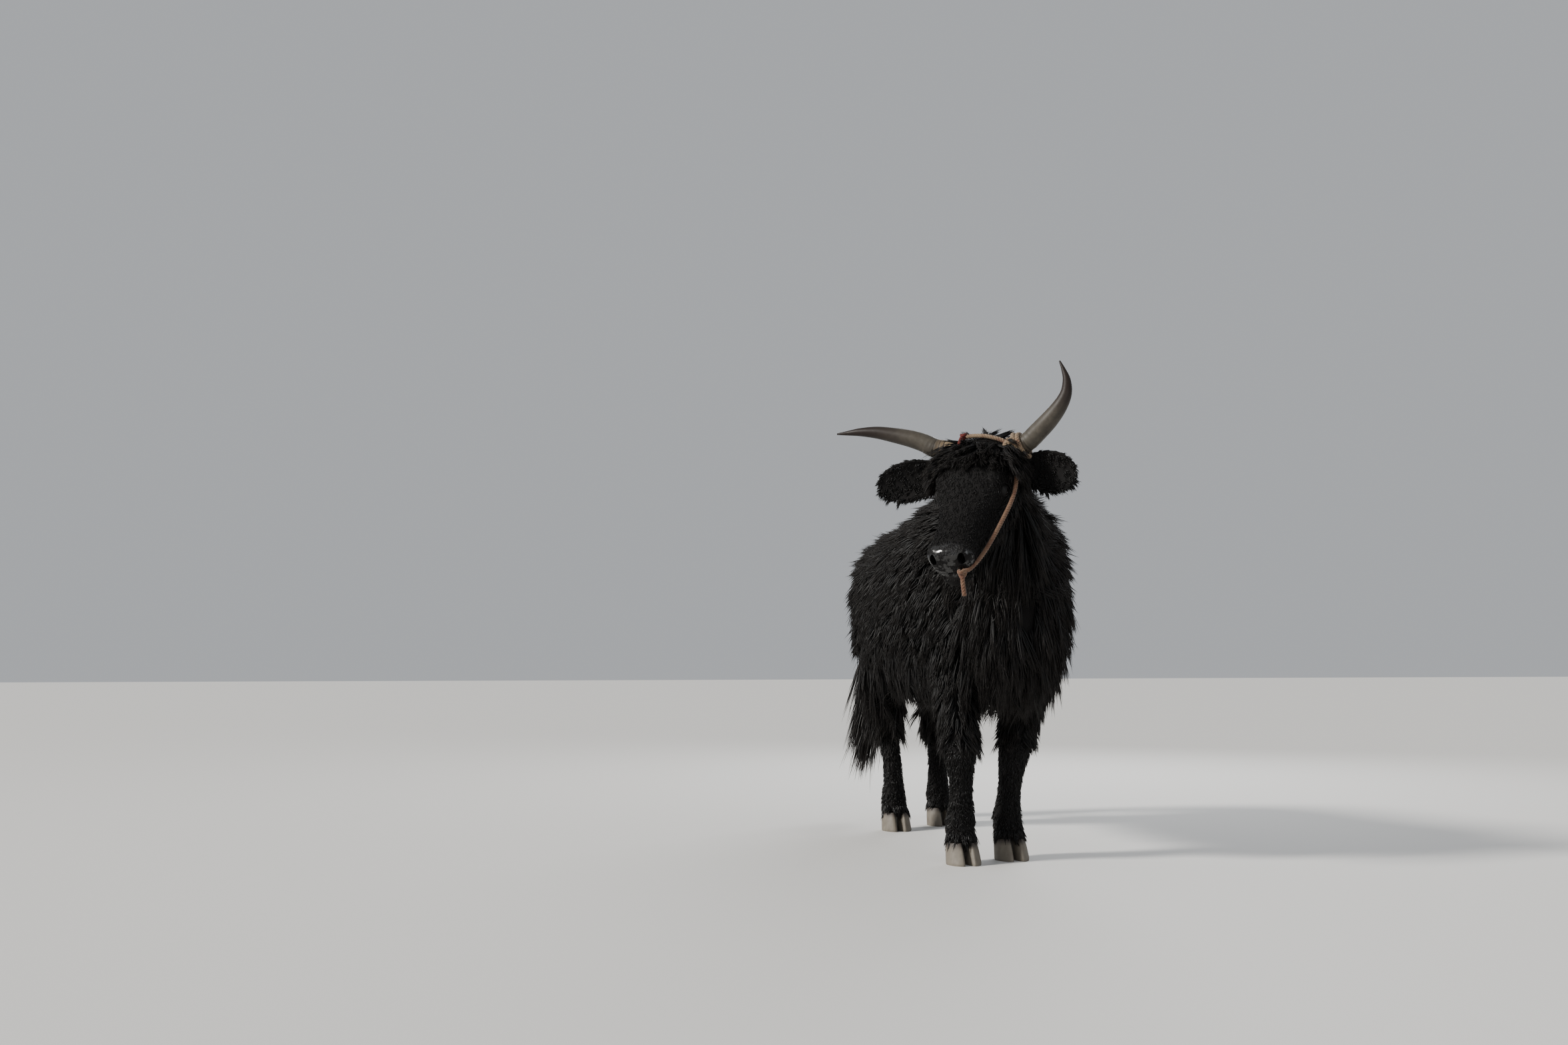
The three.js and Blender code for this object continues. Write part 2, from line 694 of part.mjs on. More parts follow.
function earShell(ear, grow = 0) {
  const { from, along, length, facing, across } = earFrame(ear);
  const wall = 9 + grow * 2;
  const turns = [-80, -40, 0, 40, 80].map(rad);
  const rings = earRows.map(({ at, width, cup }) => {
    const middle = from.clone().addScaledVector(along, at * length);
    const spot = (turn, inset) =>
      middle
        .clone()
        .addScaledVector(across, Math.sin(turn) * (width / 2 + grow - inset))
        .addScaledVector(facing, -Math.cos(turn) * (cup + grow - inset * 0.9) + cup * 0.4);
    const outer = turns.map((turn) => spot(turn, 0));
    const inner = turns.map((turn) => spot(turn, wall)).reverse();
    return [...outer, ...inner];
  });
  return loft(rings);
}
// Hair of the head: a forelock, the temples and a short beard under the jaws
const headSpots = [
  { at: 0.02, angles: [-50, -8, 40], length: 130, width: 92, lift: 0.35 },
  { at: 0.15, angles: [-62, -22, 20, 60], length: 105, width: 84, lift: 0.3 },
  { at: 0.36, angles: [-140, 140], length: 100, width: 84, lift: 0.2 },
];
const headHair = headSpots.flatMap(({ at, angles, length, width, lift }) =>
  angles.map((degrees) => {
    const t = skull.nearest(onHead(at * headLength, 0, 0)) + 0.01;
    const turn = rad(degrees + vary(5));
    return {
      root: skull.point(t, turn),
      out: skull.normal(t, turn),
      flow: headWay(1, Math.sin(turn) * 0.5, 0),
      length: length * (1 + vary(0.15)),
      width,
      depth: 20,
      sink: 14,
      lift,
      settle: 0.25,
      curl: vary(0.08),
      keep: (p, offset) => skull.push(p, offset),
    };
  }),
);

// Legs with their hair and hooves, as they stand and grown by the clearance
for (const [name, leg] of Object.entries(legs)) {
  const hair = hairOfLeg(leg);
  const whole = (grow) =>
    join([
      leg.tube.solid(steps.leg[0], steps.leg[1], grow),
      dewclaw(leg, -1, grow),
      dewclaw(leg, 1, grow),
      ...lockAll(hair, grow),
    ]);
  leg.name = name;
  leg.solid = whole(0);
  leg.claws = [-1, 1].map((side) => claw(leg, side));
  const clawRoom = join([-1, 1].map((side) => claw(leg, side, gap)));
  leg.solid = leg.solid.subtract(clawRoom);
  leg.room = join([whole(gap), clawRoom]);
}

const legRoom = join(Object.values(legs).map((leg) => leg.room));
const tailWhole = (grow) => join([dock.solid(...steps.dock, grow), ...lockAll(tailHair, grow)]);
const tailRoom = tailWhole(gap);
const headParts = (grow) => [
  skull.solid(...steps.head, grow),
  ...bothSides(faceSwells).flat(),
  chin,
  ...lockAll(headHair, grow),
];
const hornRoom = join([horn("right", gap), horn("left", gap)]);
const headRoom = join([...headParts(gap), hornRoom]);
const trunkCore = trunk.solid(...steps.trunk, coreCoat);
const trunkRoom = trunk.solid(...steps.trunk, coreCoat + gap);
const neckCore = neck.solid(...steps.neck, coreCoat);

const neckShape = (grow) =>
  join([neck.solid(...steps.neck, coreCoat + grow), ...lockAll(neckHair, grow)]);
const neckRoom = neckShape(gap);
const neckSolid = neckShape(0).subtract(join([trunkRoom, headRoom, legRoom]));
const trunkLocks = join(lockAll([...trunkHair, ...chestHair])).subtract(
  join([legRoom, neckRoom, tailRoom, headRoom]),
);
const trunkSolid = largest(join([trunkCore, trunkLocks]));

// Trunk in three lengths, parted by thin upright cuts behind the shoulders and before the hips
const cuts = [-0.235 * bodyLength, 0.17 * bodyLength];
const wide = 4000;
function between(solid, low, high) {
  const box = new THREE.BoxGeometry(high - low, wide, wide);
  return solid.intersect(solidOf(box.translate((low + high) / 2, 0, 0)));
}
place("torso_rump", between(trunkSolid, -wide, cuts[0]), materials.coat);
place("torso_barrel", between(trunkSolid, cuts[0] + gap, cuts[1]), materials.coat);
place("torso_shoulders", between(trunkSolid, cuts[1] + gap, wide), materials.coat);
place("neck", neckSolid, materials.coat);
place("tail", tailWhole(0).subtract(join([trunkRoom, legRoom])), materials.coat);
for (const leg of Object.values(legs)) {
  place(`leg_${leg.name}`, leg.solid.subtract(trunkRoom), materials.coat);
  leg.claws.forEach((solid, i) => {
    place(`hoof_${leg.name}_${i === 0 ? "right" : "left"}_claw`, solid, materials.hoof);
  });
}

// Ropes, as round cord along a line of points: over the poll, round the left horn's base, and
// from there down the left cheek to the nose
function cord(points, radius, grow = 0) {
  const line = new THREE.CatmullRomCurve3(points);
  const count = points.length * 2;
  const frames = line.computeFrenetFrames(count);
  const rings = frames.tangents.map((_, i) =>
    Array.from({ length: 6 }, (_, j) => {
      const angle = (j / 6) * Math.PI * 2;
      const middle = line.getPointAt(i / count);
      middle.addScaledVector(frames.normals[i], Math.cos(angle) * (radius + grow));
      return middle.addScaledVector(frames.binormals[i], Math.sin(angle) * (radius + grow));
    }),
  );
  return loft(rings);
}
function hornLoop(at, tilt, grow) {
  const loop = new THREE.TorusGeometry(42, 9 + grow, 5, 10);
  loop.rotateY(Math.PI / 2).rotateZ(Math.PI / 2 + tilt).rotateX(rad(22)).translate(2, at, 14);
  return solidOf(loop.applyMatrix4(levelFrame));
}
const hornRope = (grow = 0) =>
  join([
    hornLoop(136, 0.06, grow),
    hornLoop(155, -0.06, grow),
    ball([14, 120, 38], [24, 22, 20], grow),
    cord(
      [onHead(16, 116, 44), onHead(8, 88, 58), onHead(2, 44, 73), onHead(-4, 0, 76),
        onHead(-8, -34, 72)],
      8,
      grow,
    ),
  ]);
const noseCord = (grow = 0) =>
  join([
    cord(
      [onHead(52, 146, 4), onHead(110, 152, -16), onHead(190, 148, -44), onHead(300, 122, -64),
        onHead(420, 92, -72), onHead(500, 66, -66), onHead(524, 44, -58)],
      8,
      grow,
    ),
    ball([528, 40, -62], [16, 17, 17], grow),
    cord([onHead(530, 42, -62), onHead(560, 46, -80), onHead(590, 50, -106)], 8, grow),
  ]);
const ribbon = (grow = 0) =>
  join([
    ball([-9, -44, 76], [13, 15, 12], grow),
    cord([onHead(-9, -44, 76), onHead(8, -48, 80), onHead(32, -50, 76)], 7, grow),
  ]);
const ropeRoom = join([hornRope(gap), noseCord(gap), ribbon(gap)]);

const eyeRoom = join(bothSides((side) => eyeball(side, gap)));
const headSolid = join(headParts(0)).subtract(
  join([hornRoom, ropeRoom, eyeRoom, mouthSlot(), ...bothSides(nostril)]),
);
place("head", headSolid, materials.coat);
bothSides((side) => {
  const name = side < 0 ? "right" : "left";
  place(`eye_${name}`, eyeball(side), materials.eye);
  place(`horn_${name}`, horn(name), materials.horn);
  const earSolid = earShell(ears[name]).subtract(join([headRoom, ropeRoom, neckRoom]));
  place(`ear_${name}`, earSolid, materials.coat);
});
const tiedRoom = join([hornRoom, hornRope(gap)]);
place("horn_rope", hornRope().subtract(hornRoom), materials.rope);
place("nose_cord", noseCord().subtract(tiedRoom), materials.rope);
place("ribbon", ribbon().subtract(tiedRoom), materials.ribbon);

export default root;
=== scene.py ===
import math

import bmesh
import bpy
import numpy as np
from mathutils import Matrix, Vector, kdtree
from mathutils.bvhtree import BVHTree


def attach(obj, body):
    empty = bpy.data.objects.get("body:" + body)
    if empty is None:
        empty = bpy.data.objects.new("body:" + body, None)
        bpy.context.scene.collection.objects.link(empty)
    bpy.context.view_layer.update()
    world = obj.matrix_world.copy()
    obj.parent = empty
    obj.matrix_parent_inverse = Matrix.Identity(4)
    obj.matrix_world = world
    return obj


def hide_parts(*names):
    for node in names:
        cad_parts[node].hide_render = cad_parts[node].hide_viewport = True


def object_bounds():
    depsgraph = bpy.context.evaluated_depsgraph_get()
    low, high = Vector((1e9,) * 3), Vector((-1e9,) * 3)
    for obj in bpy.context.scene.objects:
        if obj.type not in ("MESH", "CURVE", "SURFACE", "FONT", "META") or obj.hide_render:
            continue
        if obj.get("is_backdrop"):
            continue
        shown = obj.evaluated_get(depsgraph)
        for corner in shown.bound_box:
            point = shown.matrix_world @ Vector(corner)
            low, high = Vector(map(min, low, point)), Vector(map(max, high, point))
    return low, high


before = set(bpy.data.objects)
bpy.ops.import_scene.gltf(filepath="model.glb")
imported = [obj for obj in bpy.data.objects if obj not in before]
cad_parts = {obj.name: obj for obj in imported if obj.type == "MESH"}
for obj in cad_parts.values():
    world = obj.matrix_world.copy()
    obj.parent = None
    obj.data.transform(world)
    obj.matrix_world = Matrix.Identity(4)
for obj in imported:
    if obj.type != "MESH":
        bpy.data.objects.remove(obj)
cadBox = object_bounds()
print("frame loaded")


def linked(name, data):
    holder = bpy.data.objects.new(name, data)
    bpy.context.scene.collection.objects.link(holder)
    return holder


cameraSetup = {
    "place": (5.515, -1.858, 0.73),
    "look": (-0.9704, 0.224, 0.091),
    "lens": 33.66,
    "sensor": 36,
}
camera = linked("camera", bpy.data.cameras.new("camera"))
camera.data.lens = cameraSetup["lens"]
camera.data.sensor_width = cameraSetup["sensor"]
camera.location = cameraSetup["place"]
camera.rotation_mode = "QUATERNION"
camera.rotation_quaternion = Vector(cameraSetup["look"]).to_track_quat("-Z", "Y")
bpy.context.scene.camera = camera

lampsAimAt = Vector((0, 0, 0.8))
lamps = {
    "sun_side": {"kind": "SUN", "place": (0.5, -5.2, 3.8), "size": 0.16, "power": 5.4,
                 "colour": (1, 0.97, 0.92)},
    "front_fill": {"kind": "AREA", "place": (6.5, 0.5, 2.6), "size": 3.0, "power": 62,
                   "colour": (0.93, 0.96, 1)},
    "rim": {"kind": "AREA", "place": (-3.8, 2.6, 3.6), "size": 2.5, "power": 160,
            "colour": (0.95, 0.97, 1)},
}
for lampName, lamp in lamps.items():
    light = bpy.data.lights.new(lampName, lamp["kind"])
    if lamp["kind"] == "SUN":
        light.angle = lamp["size"]
    else:
        light.size = lamp["size"]
    light.energy = lamp["power"]
    light.color = lamp["colour"]
    holder = linked(lampName, light)
    holder.location = lamp["place"]
    holder.rotation_euler = (lampsAimAt - holder.location).to_track_quat("-Z", "Y").to_euler()

worldSetup = {"Color": (0.86, 0.89, 0.93, 1), "Strength": 0.52}
world = bpy.data.worlds.new("studio")
bpy.context.scene.world = world
world.use_nodes = True
for key, value in worldSetup.items():
    world.node_tree.nodes["Background"].inputs[key].default_value = value


class Wire:
    # a socket that can be used in sums
    def __init__(self, graph, socket):
        self.graph = graph
        self.socket = socket

    def sum(self, operation, other, turned=False):
        a, b = (other, self) if turned else (self, other)
        return self.graph.add("ShaderNodeMath", {"operation": operation}, {0: a, 1: b})

    def __add__(self, other):
        return self.sum("ADD", other)

    def __mul__(self, other):
        return self.sum("MULTIPLY", other)

    def __sub__(self, other):
        return self.sum("SUBTRACT", other)

    def __rsub__(self, other):
        return self.sum("SUBTRACT", other, True)

    __radd__ = __add__
    __rmul__ = __mul__


class Graph:
    # the node tree of one new material
    def __init__(self, name):
        self.material = bpy.data.materials.new(name)
        self.material.use_nodes = True
        self.tree = self.material.node_tree
        self.shader = self.tree.nodes["Principled BSDF"]

    def put(self, node, values):
        for key, value in values.items():
            if isinstance(value, Wire):
                self.tree.links.new(value.socket, node.inputs[key])
            else:
                node.inputs[key].default_value = value

    def add(self, kind, settings=None, values=None, output=0):
        node = self.tree.nodes.new(kind)
        for key, value in (settings or {}).items():
            setattr(node, key, value)
        self.put(node, values or {})
        return Wire(self, node.outputs[output])

    def coords(self):
        return self.add("ShaderNodeTexCoord", output="Object")

    def attribute(self, name):
        return self.add("ShaderNodeAttribute", {"attribute_name": name}, output="Fac")

    def noise(self, scale, detail=3, rough=0.55, stretch=None):
        spot = self.coords()
        if stretch:
            spot = self.add("ShaderNodeMapping", {}, {"Vector": spot, "Scale": stretch})
        values = {"Vector": spot, "Scale": scale, "Detail": detail, "Roughness": rough}
        return self.add("ShaderNodeTexNoise", {}, values)

    def between(self, low, high, wire):
        # 0 below low, 1 above high, smooth between
        settings = {"interpolation_type": "SMOOTHSTEP"}
        values = {"Value": wire, "From Min": low, "From Max": high}
        return self.add("ShaderNodeMapRange", settings, values)

    def mix(self, share, a, b):
        a = a if isinstance(a, Wire) else (*a, 1)
        b = b if isinstance(b, Wire) else (*b, 1)
        settings = {"data_type": "RGBA"}
        return self.add("ShaderNodeMix", settings, {0: share, 6: a, 7: b}, 2)

    def bump(self, height, distance, strength=1.0):
        values = {"Height": height, "Distance": distance, "Strength": strength}
        return self.add("ShaderNodeBump", {}, values)

    def finish(self, **values):
        names = {
            "colour": "Base Color",
            "roughness": "Roughness",
            "normal": "Normal",
            "specular": "Specular IOR Level",
            "coat": "Coat Weight",
            "coatRoughness": "Coat Roughness",
            "sheen": "Sheen Weight",
            "sheenRoughness": "Sheen Roughness",
        }
        self.put(self.shader, {names[key]: value for key, value in values.items()})
        return self.material


bodyShift = np.array((-0.031, 0.110, 0))  # from the floor point between its feet to the origin
withersHeight = 1.345
bodyLength = 1.520
headLength = 0.515
hoofHeight = 0.0764
worldUp = np.array((0, 0, 1.0))


def unit(v):
    v = np.asarray(v, float)
    return v / np.maximum(np.linalg.norm(v, axis=-1, keepdims=True), 1e-9)


def curveAt(rows, t):
    # a smooth line through rows of numbers, at places counted in rows
    rows = np.asarray(rows, float)
    last = len(rows) - 1
    padded = np.vstack((2 * rows[0] - rows[1], rows, 2 * rows[-1] - rows[-2]))
    t = np.clip(np.asarray(t, float), 0, last)
    i = np.minimum(t.astype(int), last - 1)
    w = (t - i)[..., None]
    a, b, c, d = (padded[i + k] for k in range(4))
    bend = (2 * a - 5 * b + 4 * c - d) * w**2 + (3 * b - a - 3 * c + d) * w**3
    return 0.5 * (2 * b + (c - a) * w + bend)


def fullTurn(count):
    return np.arange(count) / count * 2 * math.pi


class Tube:
    # oval sections along a line: x, y, z, half width, reach to the top and to the bottom
    def __init__(self, rows, heading=None, above=(0, 0, 1), power=2.2):
        self.rows = np.array(rows, float)
        self.last = len(rows) - 1
        self.heading = heading
        self.above = unit(above)
        self.power = power

    def section(self, t):
        t = np.asarray(t, float)
        row = curveAt(self.rows, t)
        if self.heading is None:
            ahead = curveAt(self.rows, t + 0.02) - curveAt(self.rows, t - 0.02)
            along = unit(ahead[..., :3])
        else:
            along = np.broadcast_to(unit(self.heading), row[..., :3].shape)
        side = unit(np.cross(self.above, along))
        return row, along, side, np.cross(along, side)

    def point(self, t, angle, grow=0.0):
        row, _, side, top = self.section(t)
        angle = np.asarray(angle, float)
        s, c = np.sin(angle), np.cos(angle)
        across = np.sign(s) * np.abs(s) ** (2 / self.power) * (row[..., 3] + grow)
        reach = np.where(c > 0, row[..., 4], row[..., 5]) + grow
        rise = np.sign(c) * np.abs(c) ** (2 / self.power) * reach
        return row[..., :3] + side * across[..., None] + top * rise[..., None]

    def rings(self, steps, around, grow=0.0):
        angles = fullTurn(around)
        places = [np.full(around, i / steps * self.last) for i in range(steps + 1)]
        return [self.point(t, angles, grow) for t in places]


trunkRows = (  # share along the body, top, bottom, half width, height of the widest line
    (-0.52, 0.825, 0.714, 0.070, 0.766), (-0.48, 0.874, 0.595, 0.147, 0.736),
    (-0.40, 0.903, 0.520, 0.214, 0.721), (-0.28, 0.918, 0.483, 0.250, 0.699),
    (-0.14, 0.926, 0.457, 0.282, 0.680), (0.00, 0.941, 0.445, 0.300, 0.673),
    (0.12, 0.974, 0.445, 0.300, 0.680), (0.22, 1.000, 0.448, 0.282, 0.691),
    (0.31, 0.993, 0.454, 0.252, 0.691), (0.39, 0.937, 0.467, 0.210, 0.684),
    (0.45, 0.848, 0.506, 0.147, 0.669), (0.485, 0.760, 0.565, 0.095, 0.660),
    (0.50, 0.700, 0.620, 0.030, 0.660),
)
trunk = Tube(
    [
        (at * bodyLength, 0, wide * withersHeight, half,
         (top - wide) * withersHeight, (wide - bottom) * withersHeight)
        for at, top, bottom, half, wide in trunkRows
    ],
    heading=(1, 0, 0),
    power=2.4,
)
neck = Tube(
    [
        (0.400, 0.000, 1.000, 0.215, 0.285, 0.280), (0.540, -0.012, 1.065, 0.172, 0.245, 0.205),
        (0.630, -0.045, 1.150, 0.138, 0.190, 0.150), (0.690, -0.085, 1.245, 0.112, 0.150, 0.112),
        (0.722, -0.125, 1.335, 0.092, 0.105, 0.095),
    ],
    above=(-0.35, 0.1, 1),
)

headPose = {"poll": (0.745, -0.150, 1.440), "turn": -42, "drop": 49, "tilt": 2.5}
levelFrame = Matrix.Translation(headPose["poll"]) @ Matrix.Rotation(
    math.radians(headPose["turn"]), 4, "Z"
)
headFrame = (
    levelFrame
    @ Matrix.Rotation(math.radians(headPose["drop"]), 4, "Y")
    @ Matrix.Rotation(math.radians(headPose["tilt"]), 4, "X")
)


def onHead(along, left, out):
    return np.array(headFrame @ Vector((along, left, out)))


def headWay(along, left, out):
    return np.array(headFrame.to_3x3() @ Vector((along, left, out)))


def byPoll(ahead, left, rise):
    return np.array(levelFrame @ Vector((ahead, left, rise)))


headRows = (  # share along the face, half width, reach out of the forehead, down to the jaw
    (-0.05, 0.094, 0.046, 0.066), (0.00, 0.118, 0.064, 0.106), (0.07, 0.129, 0.066, 0.150),
    (0.16, 0.136, 0.062, 0.185), (0.26, 0.138, 0.055, 0.200), (0.35, 0.130, 0.044, 0.205),
    (0.45, 0.108, 0.032, 0.192), (0.56, 0.088, 0.022, 0.165), (0.67, 0.077, 0.016, 0.140),
    (0.78, 0.074, 0.015, 0.122), (0.87, 0.079, 0.019, 0.118), (0.94, 0.079, 0.015, 0.115),
    (0.985, 0.066, 0.002, 0.104), (1.00, 0.046, -0.014, 0.088),
)
widestAt = 0.21  # the head is widest this share of the way from its line to the jaw
skull = Tube(
    [
        (*onHead(at * headLength, 0, -(jaw - out) * widestAt), half,
         out + (jaw - out) * widestAt, jaw - (jaw - out) * widestAt)
        for at, half, out, jaw in headRows
    ],
    heading=headWay(1, 0, 0),
    above=headWay(0, 0, 1),
    power=2.35,
)
legRows = {  # height, half width, reach ahead and back
    "front": (
        (0.860, 0.078, 0.095, 0.095), (0.700, 0.072, 0.084, 0.088), (0.560, 0.060, 0.062, 0.068),
        (0.450, 0.052, 0.052, 0.052), (0.380, 0.055, 0.056, 0.050), (0.310, 0.043, 0.042, 0.042),
        (0.225, 0.039, 0.037, 0.041), (0.150, 0.050, 0.045, 0.054), (0.104, 0.049, 0.048, 0.046),
        (hoofHeight, 0.054, 0.051, 0.050),
    ),
    "hind": (
        (0.860, 0.100, 0.150, 0.150), (0.700, 0.090, 0.118, 0.118), (0.580, 0.066, 0.072, 0.084),
        (0.500, 0.050, 0.052, 0.062), (0.445, 0.046, 0.048, 0.058), (0.380, 0.040, 0.042, 0.044),
        (0.290, 0.037, 0.038, 0.039), (0.200, 0.039, 0.039, 0.042), (0.140, 0.048, 0.045, 0.052),
        (0.104, 0.048, 0.047, 0.046), (hoofHeight, 0.054, 0.051, 0.050),
    ),
}
legs = {  # where each foot stands, and how far each row lies ahead of it and to its left
    "front_right": {
        "kind": "front", "foot": (0.566, -0.167),
        "line": ((-0.096, 0.020), (-0.076, 0.006), (-0.052, -0.002), (-0.036, -0.002), (-0.030, 0),
                 (-0.036, 0.004), (-0.042, 0.008), (-0.042, 0.004), (-0.032, 0), (-0.025, 0)),
    },
    "front_left": {
        "kind": "front", "foot": (0.493, 0.043),
        "line": ((-0.030, 0.110), (-0.022, 0.098), (-0.022, 0.066), (-0.024, 0.036),
                 (-0.022, 0.022), (-0.032, 0.014), (-0.040, 0.006), (-0.042, 0), (-0.032, 0),
                 (-0.025, 0)),
    },
    "hind_right": {
        "kind": "hind", "foot": (-0.458, -0.094),
        "line": ((-0.020, -0.050), (-0.028, -0.048), (-0.062, -0.034), (-0.096, -0.022),
                 (-0.100, -0.018), (-0.084, -0.008), (-0.064, 0), (-0.050, 0.002), (-0.042, 0),
                 (-0.032, 0), (-0.025, 0)),
    },
    "hind_left": {
        "kind": "hind", "foot": (-0.602, 0.154),
        "line": ((0.100, 0), (0.080, 0), (0.016, 0), (-0.038, 0), (-0.054, 0), (-0.052, 0),
                 (-0.048, 0), (-0.044, 0), (-0.042, 0), (-0.032, 0), (-0.025, 0)),
    },
}
for leg in legs.values():
    footX, footY = leg["foot"]
    leg["tube"] = Tube(
        [
            (footX + x, footY + y, z, half, fore, back)
            for (z, half, fore, back), (x, y) in zip(legRows[leg["kind"]], leg["line"])
        ],
        heading=(0, 0, -1),
        above=(1, 0, 0),
    )
dock = Tube(
    [
        (-0.700, 0, 1.085, 0.038, 0.038, 0.038), (-0.815, -0.002, 1.062, 0.038, 0.038, 0.038),
        (-0.865, -0.014, 0.960, 0.038, 0.036, 0.036), (-0.880, -0.034, 0.820, 0.036, 0.034, 0.034),
        (-0.884, -0.056, 0.680, 0.030, 0.028, 0.028), (-0.888, -0.076, 0.560, 0.020, 0.018, 0.018),
    ],
    above=(1, 0, 0),
    power=2,
)
print("sections ready")


def loft(bm, rings, tag=None):
    # bridges rings of points into one closed shell; tag takes each ring's share of the way
    before = []
    for i, ring in enumerate(rings):
        isEnd = i in (0, len(rings) - 1)
        circle = bmesh.ops.create_circle(bm, cap_ends=isEnd, segments=len(ring), radius=1)["verts"]
        for vert, place in zip(circle, ring):
            vert.co = place
            if tag is not None:
                vert[tag] = i / (len(rings) - 1)
        own = set(circle)
        edges = [
            e for v in circle for e in v.link_edges if e.verts[0] == v and e.other_vert(v) in own
        ]
        if before:
            bmesh.ops.bridge_loops(bm, edges=before + edges)
        before = edges


def ball(bm, centre, sizes, place=headFrame):
    made = bmesh.ops.create_icosphere(bm, subdivisions=3, radius=1)["verts"]
    bmesh.ops.scale(bm, vec=sizes, verts=made)
    bmesh.ops.transform(bm, matrix=place @ Matrix.Translation(centre), verts=made)


def ballPairs(bm, forms, place=headFrame):
    # every form on the right, then every form on the left
    for side in (-1, 1):
        for (x, y, z), sizes in forms.values():
            ball(bm, (x, side * y, z), sizes, place)


def objectOf(bm, name, smooth=True, shift=True):
    bmesh.ops.recalc_face_normals(bm, faces=bm.faces)
    if shift:
        bmesh.ops.translate(bm, vec=Vector(bodyShift), verts=bm.verts)
    mesh = bpy.data.meshes.new(name)
    bm.to_mesh(mesh)
    bm.free()
    mesh.polygons.foreach_set("use_smooth", [smooth] * len(mesh.polygons))
    return linked(name, mesh)


def settledMesh(piece):
    # a new mesh of the piece as its modifiers or its bevel make it
    bpy.context.view_layer.update()
    graph = bpy.context.evaluated_depsgraph_get()
    return bpy.data.meshes.new_from_object(piece.evaluated_get(graph))


def settle(piece):
    # applies every modifier to the piece's own mesh
    made = settledMesh(piece)
    piece.modifiers.clear()
    old = piece.data
    piece.data = made
    bpy.data.meshes.remove(old)
    made.name = piece.name
    return piece


def remesh(piece, voxel, smooth):
    # one even, softened surface round everything in the piece
    step = piece.modifiers.new("remesh", "REMESH")
    step.mode = "VOXEL"
    step.voxel_size = voxel
    soften = piece.modifiers.new("soften", "SMOOTH")
    soften.iterations = smooth
    soften.factor = 0.5
    return settle(piece)


def cut(piece, other, operation):
    step = piece.modifiers.new(operation, "BOOLEAN")
    step.operation = operation
    step.solver = "MANIFOLD"
    step.object = other
    settle(piece)
    bpy.data.objects.remove(other)


def dress(piece, material, slot, *nodes):
    piece.data.materials.clear()
    piece.data.materials.append(material)
    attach(piece, "root")
    if nodes:
        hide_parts(*nodes)


skinSetup = {
    "bodyVoxel": 0.012,
    "headVoxel": 0.0046,
    "bodySmooth": 3,
    "headSmooth": 2,
    "under": 0.004,  # the skin stands this far out of the flesh sections
}
bodyForms = {  # balls on both sides, under the coat: centre and half sizes
    "shoulder": ((0.40, 0.17, 0.98), (0.15, 0.07, 0.24)),
    "thigh": ((-0.50, 0.12, 0.82), (0.18, 0.10, 0.22)),
}
headForms = {
    "brow": ((0.142, 0.088, 0.018), (0.056, 0.036, 0.026)),
    "eyeSocket": ((0.182, 0.100, -0.024), (0.036, 0.026, 0.030)),
    "cheek": ((0.250, 0.066, -0.080), (0.085, 0.040, 0.060)),
    "nostrilRim": ((0.470, 0.046, -0.020), (0.038, 0.032, 0.034)),
    "upperLip": ((0.455, 0.040, -0.072), (0.060, 0.038, 0.024)),
}
headHollows = {
    "nostril": ((0.505, 0.050, -0.016), (0.032, 0.013, 0.019)),
    "eye": ((0.182, 0.121, -0.024), (0.0235, 0.021, 0.0235)),
}
chin = {"centre": (0.484, 0, -0.106), "sizes": (0.048, 0.054, 0.034)}
mouth = {
    "back": 0.392, "front": 0.6, "halfWidth": 0.11, "top": -0.0685, "bottom": -0.0765,
    "innerAt": -0.074, "innerHalf": 0.001, "cornerBack": 0.006, "cornerDrop": 0.004,
}
earWall = 0.010
earRows = np.array((  # share along the ear, width, cup
    (-0.1, 0.060, 0.022), (0.1, 0.084, 0.028), (0.3, 0.126, 0.033), (0.52, 0.150, 0.032),
    (0.74, 0.140, 0.026), (0.9, 0.104, 0.019), (0.99, 0.054, 0.012),
))
ears = {
    "right": {"base": (-0.022, -0.116, -0.058), "tip": (0.034, -0.382, -0.102),
              "open": (1, -0.25, -0.15)},
    "left": {"base": (-0.022, 0.116, -0.058), "tip": (-0.020, 0.332, -0.092),
             "open": (1, 0.35, -0.1)},
}


def earFrame(ear):
    start = byPoll(*ear["base"])
    along = byPoll(*ear["tip"]) - start
    length = np.linalg.norm(along)
    along = unit(along)
    facing = byPoll(*ear["open"]) - np.array(headPose["poll"])
    facing = unit(facing - along * (facing @ along))
    return start, along, length, facing, np.cross(along, facing)


def earRing(ear, at, wall):
    # one crescent section of an ear: its outer curve, and back along the inner one
    start, along, length, facing, across = earFrame(ear)
    width, cup = curveAt(earRows[:, 1:], np.interp(at, earRows[:, 0], range(len(earRows))))
    middle = start + along * at * length
    turns = np.radians(np.linspace(-80, 80, 11))

    def curve(inset):
        out = np.sin(turns)[:, None] * across * (width / 2 - inset)
        deep = -np.cos(turns) * (cup - inset * 0.9) + cup * 0.4
        return middle + out + deep[:, None] * facing

    return np.vstack((curve(0), curve(wall)[::-1]))


def bodySkin():
    bm = bmesh.new()
    loft(bm, trunk.rings(46, 40, skinSetup["under"]))
    loft(bm, neck.rings(14, 30, skinSetup["under"]))
    for leg in legs.values():
        loft(bm, leg["tube"].rings(30, 20))
    loft(bm, dock.rings(16, 14))
    ballPairs(bm, bodyForms, Matrix())
    body = objectOf(bm, "skin", shift=False)
    return remesh(body, skinSetup["bodyVoxel"], skinSetup["bodySmooth"])


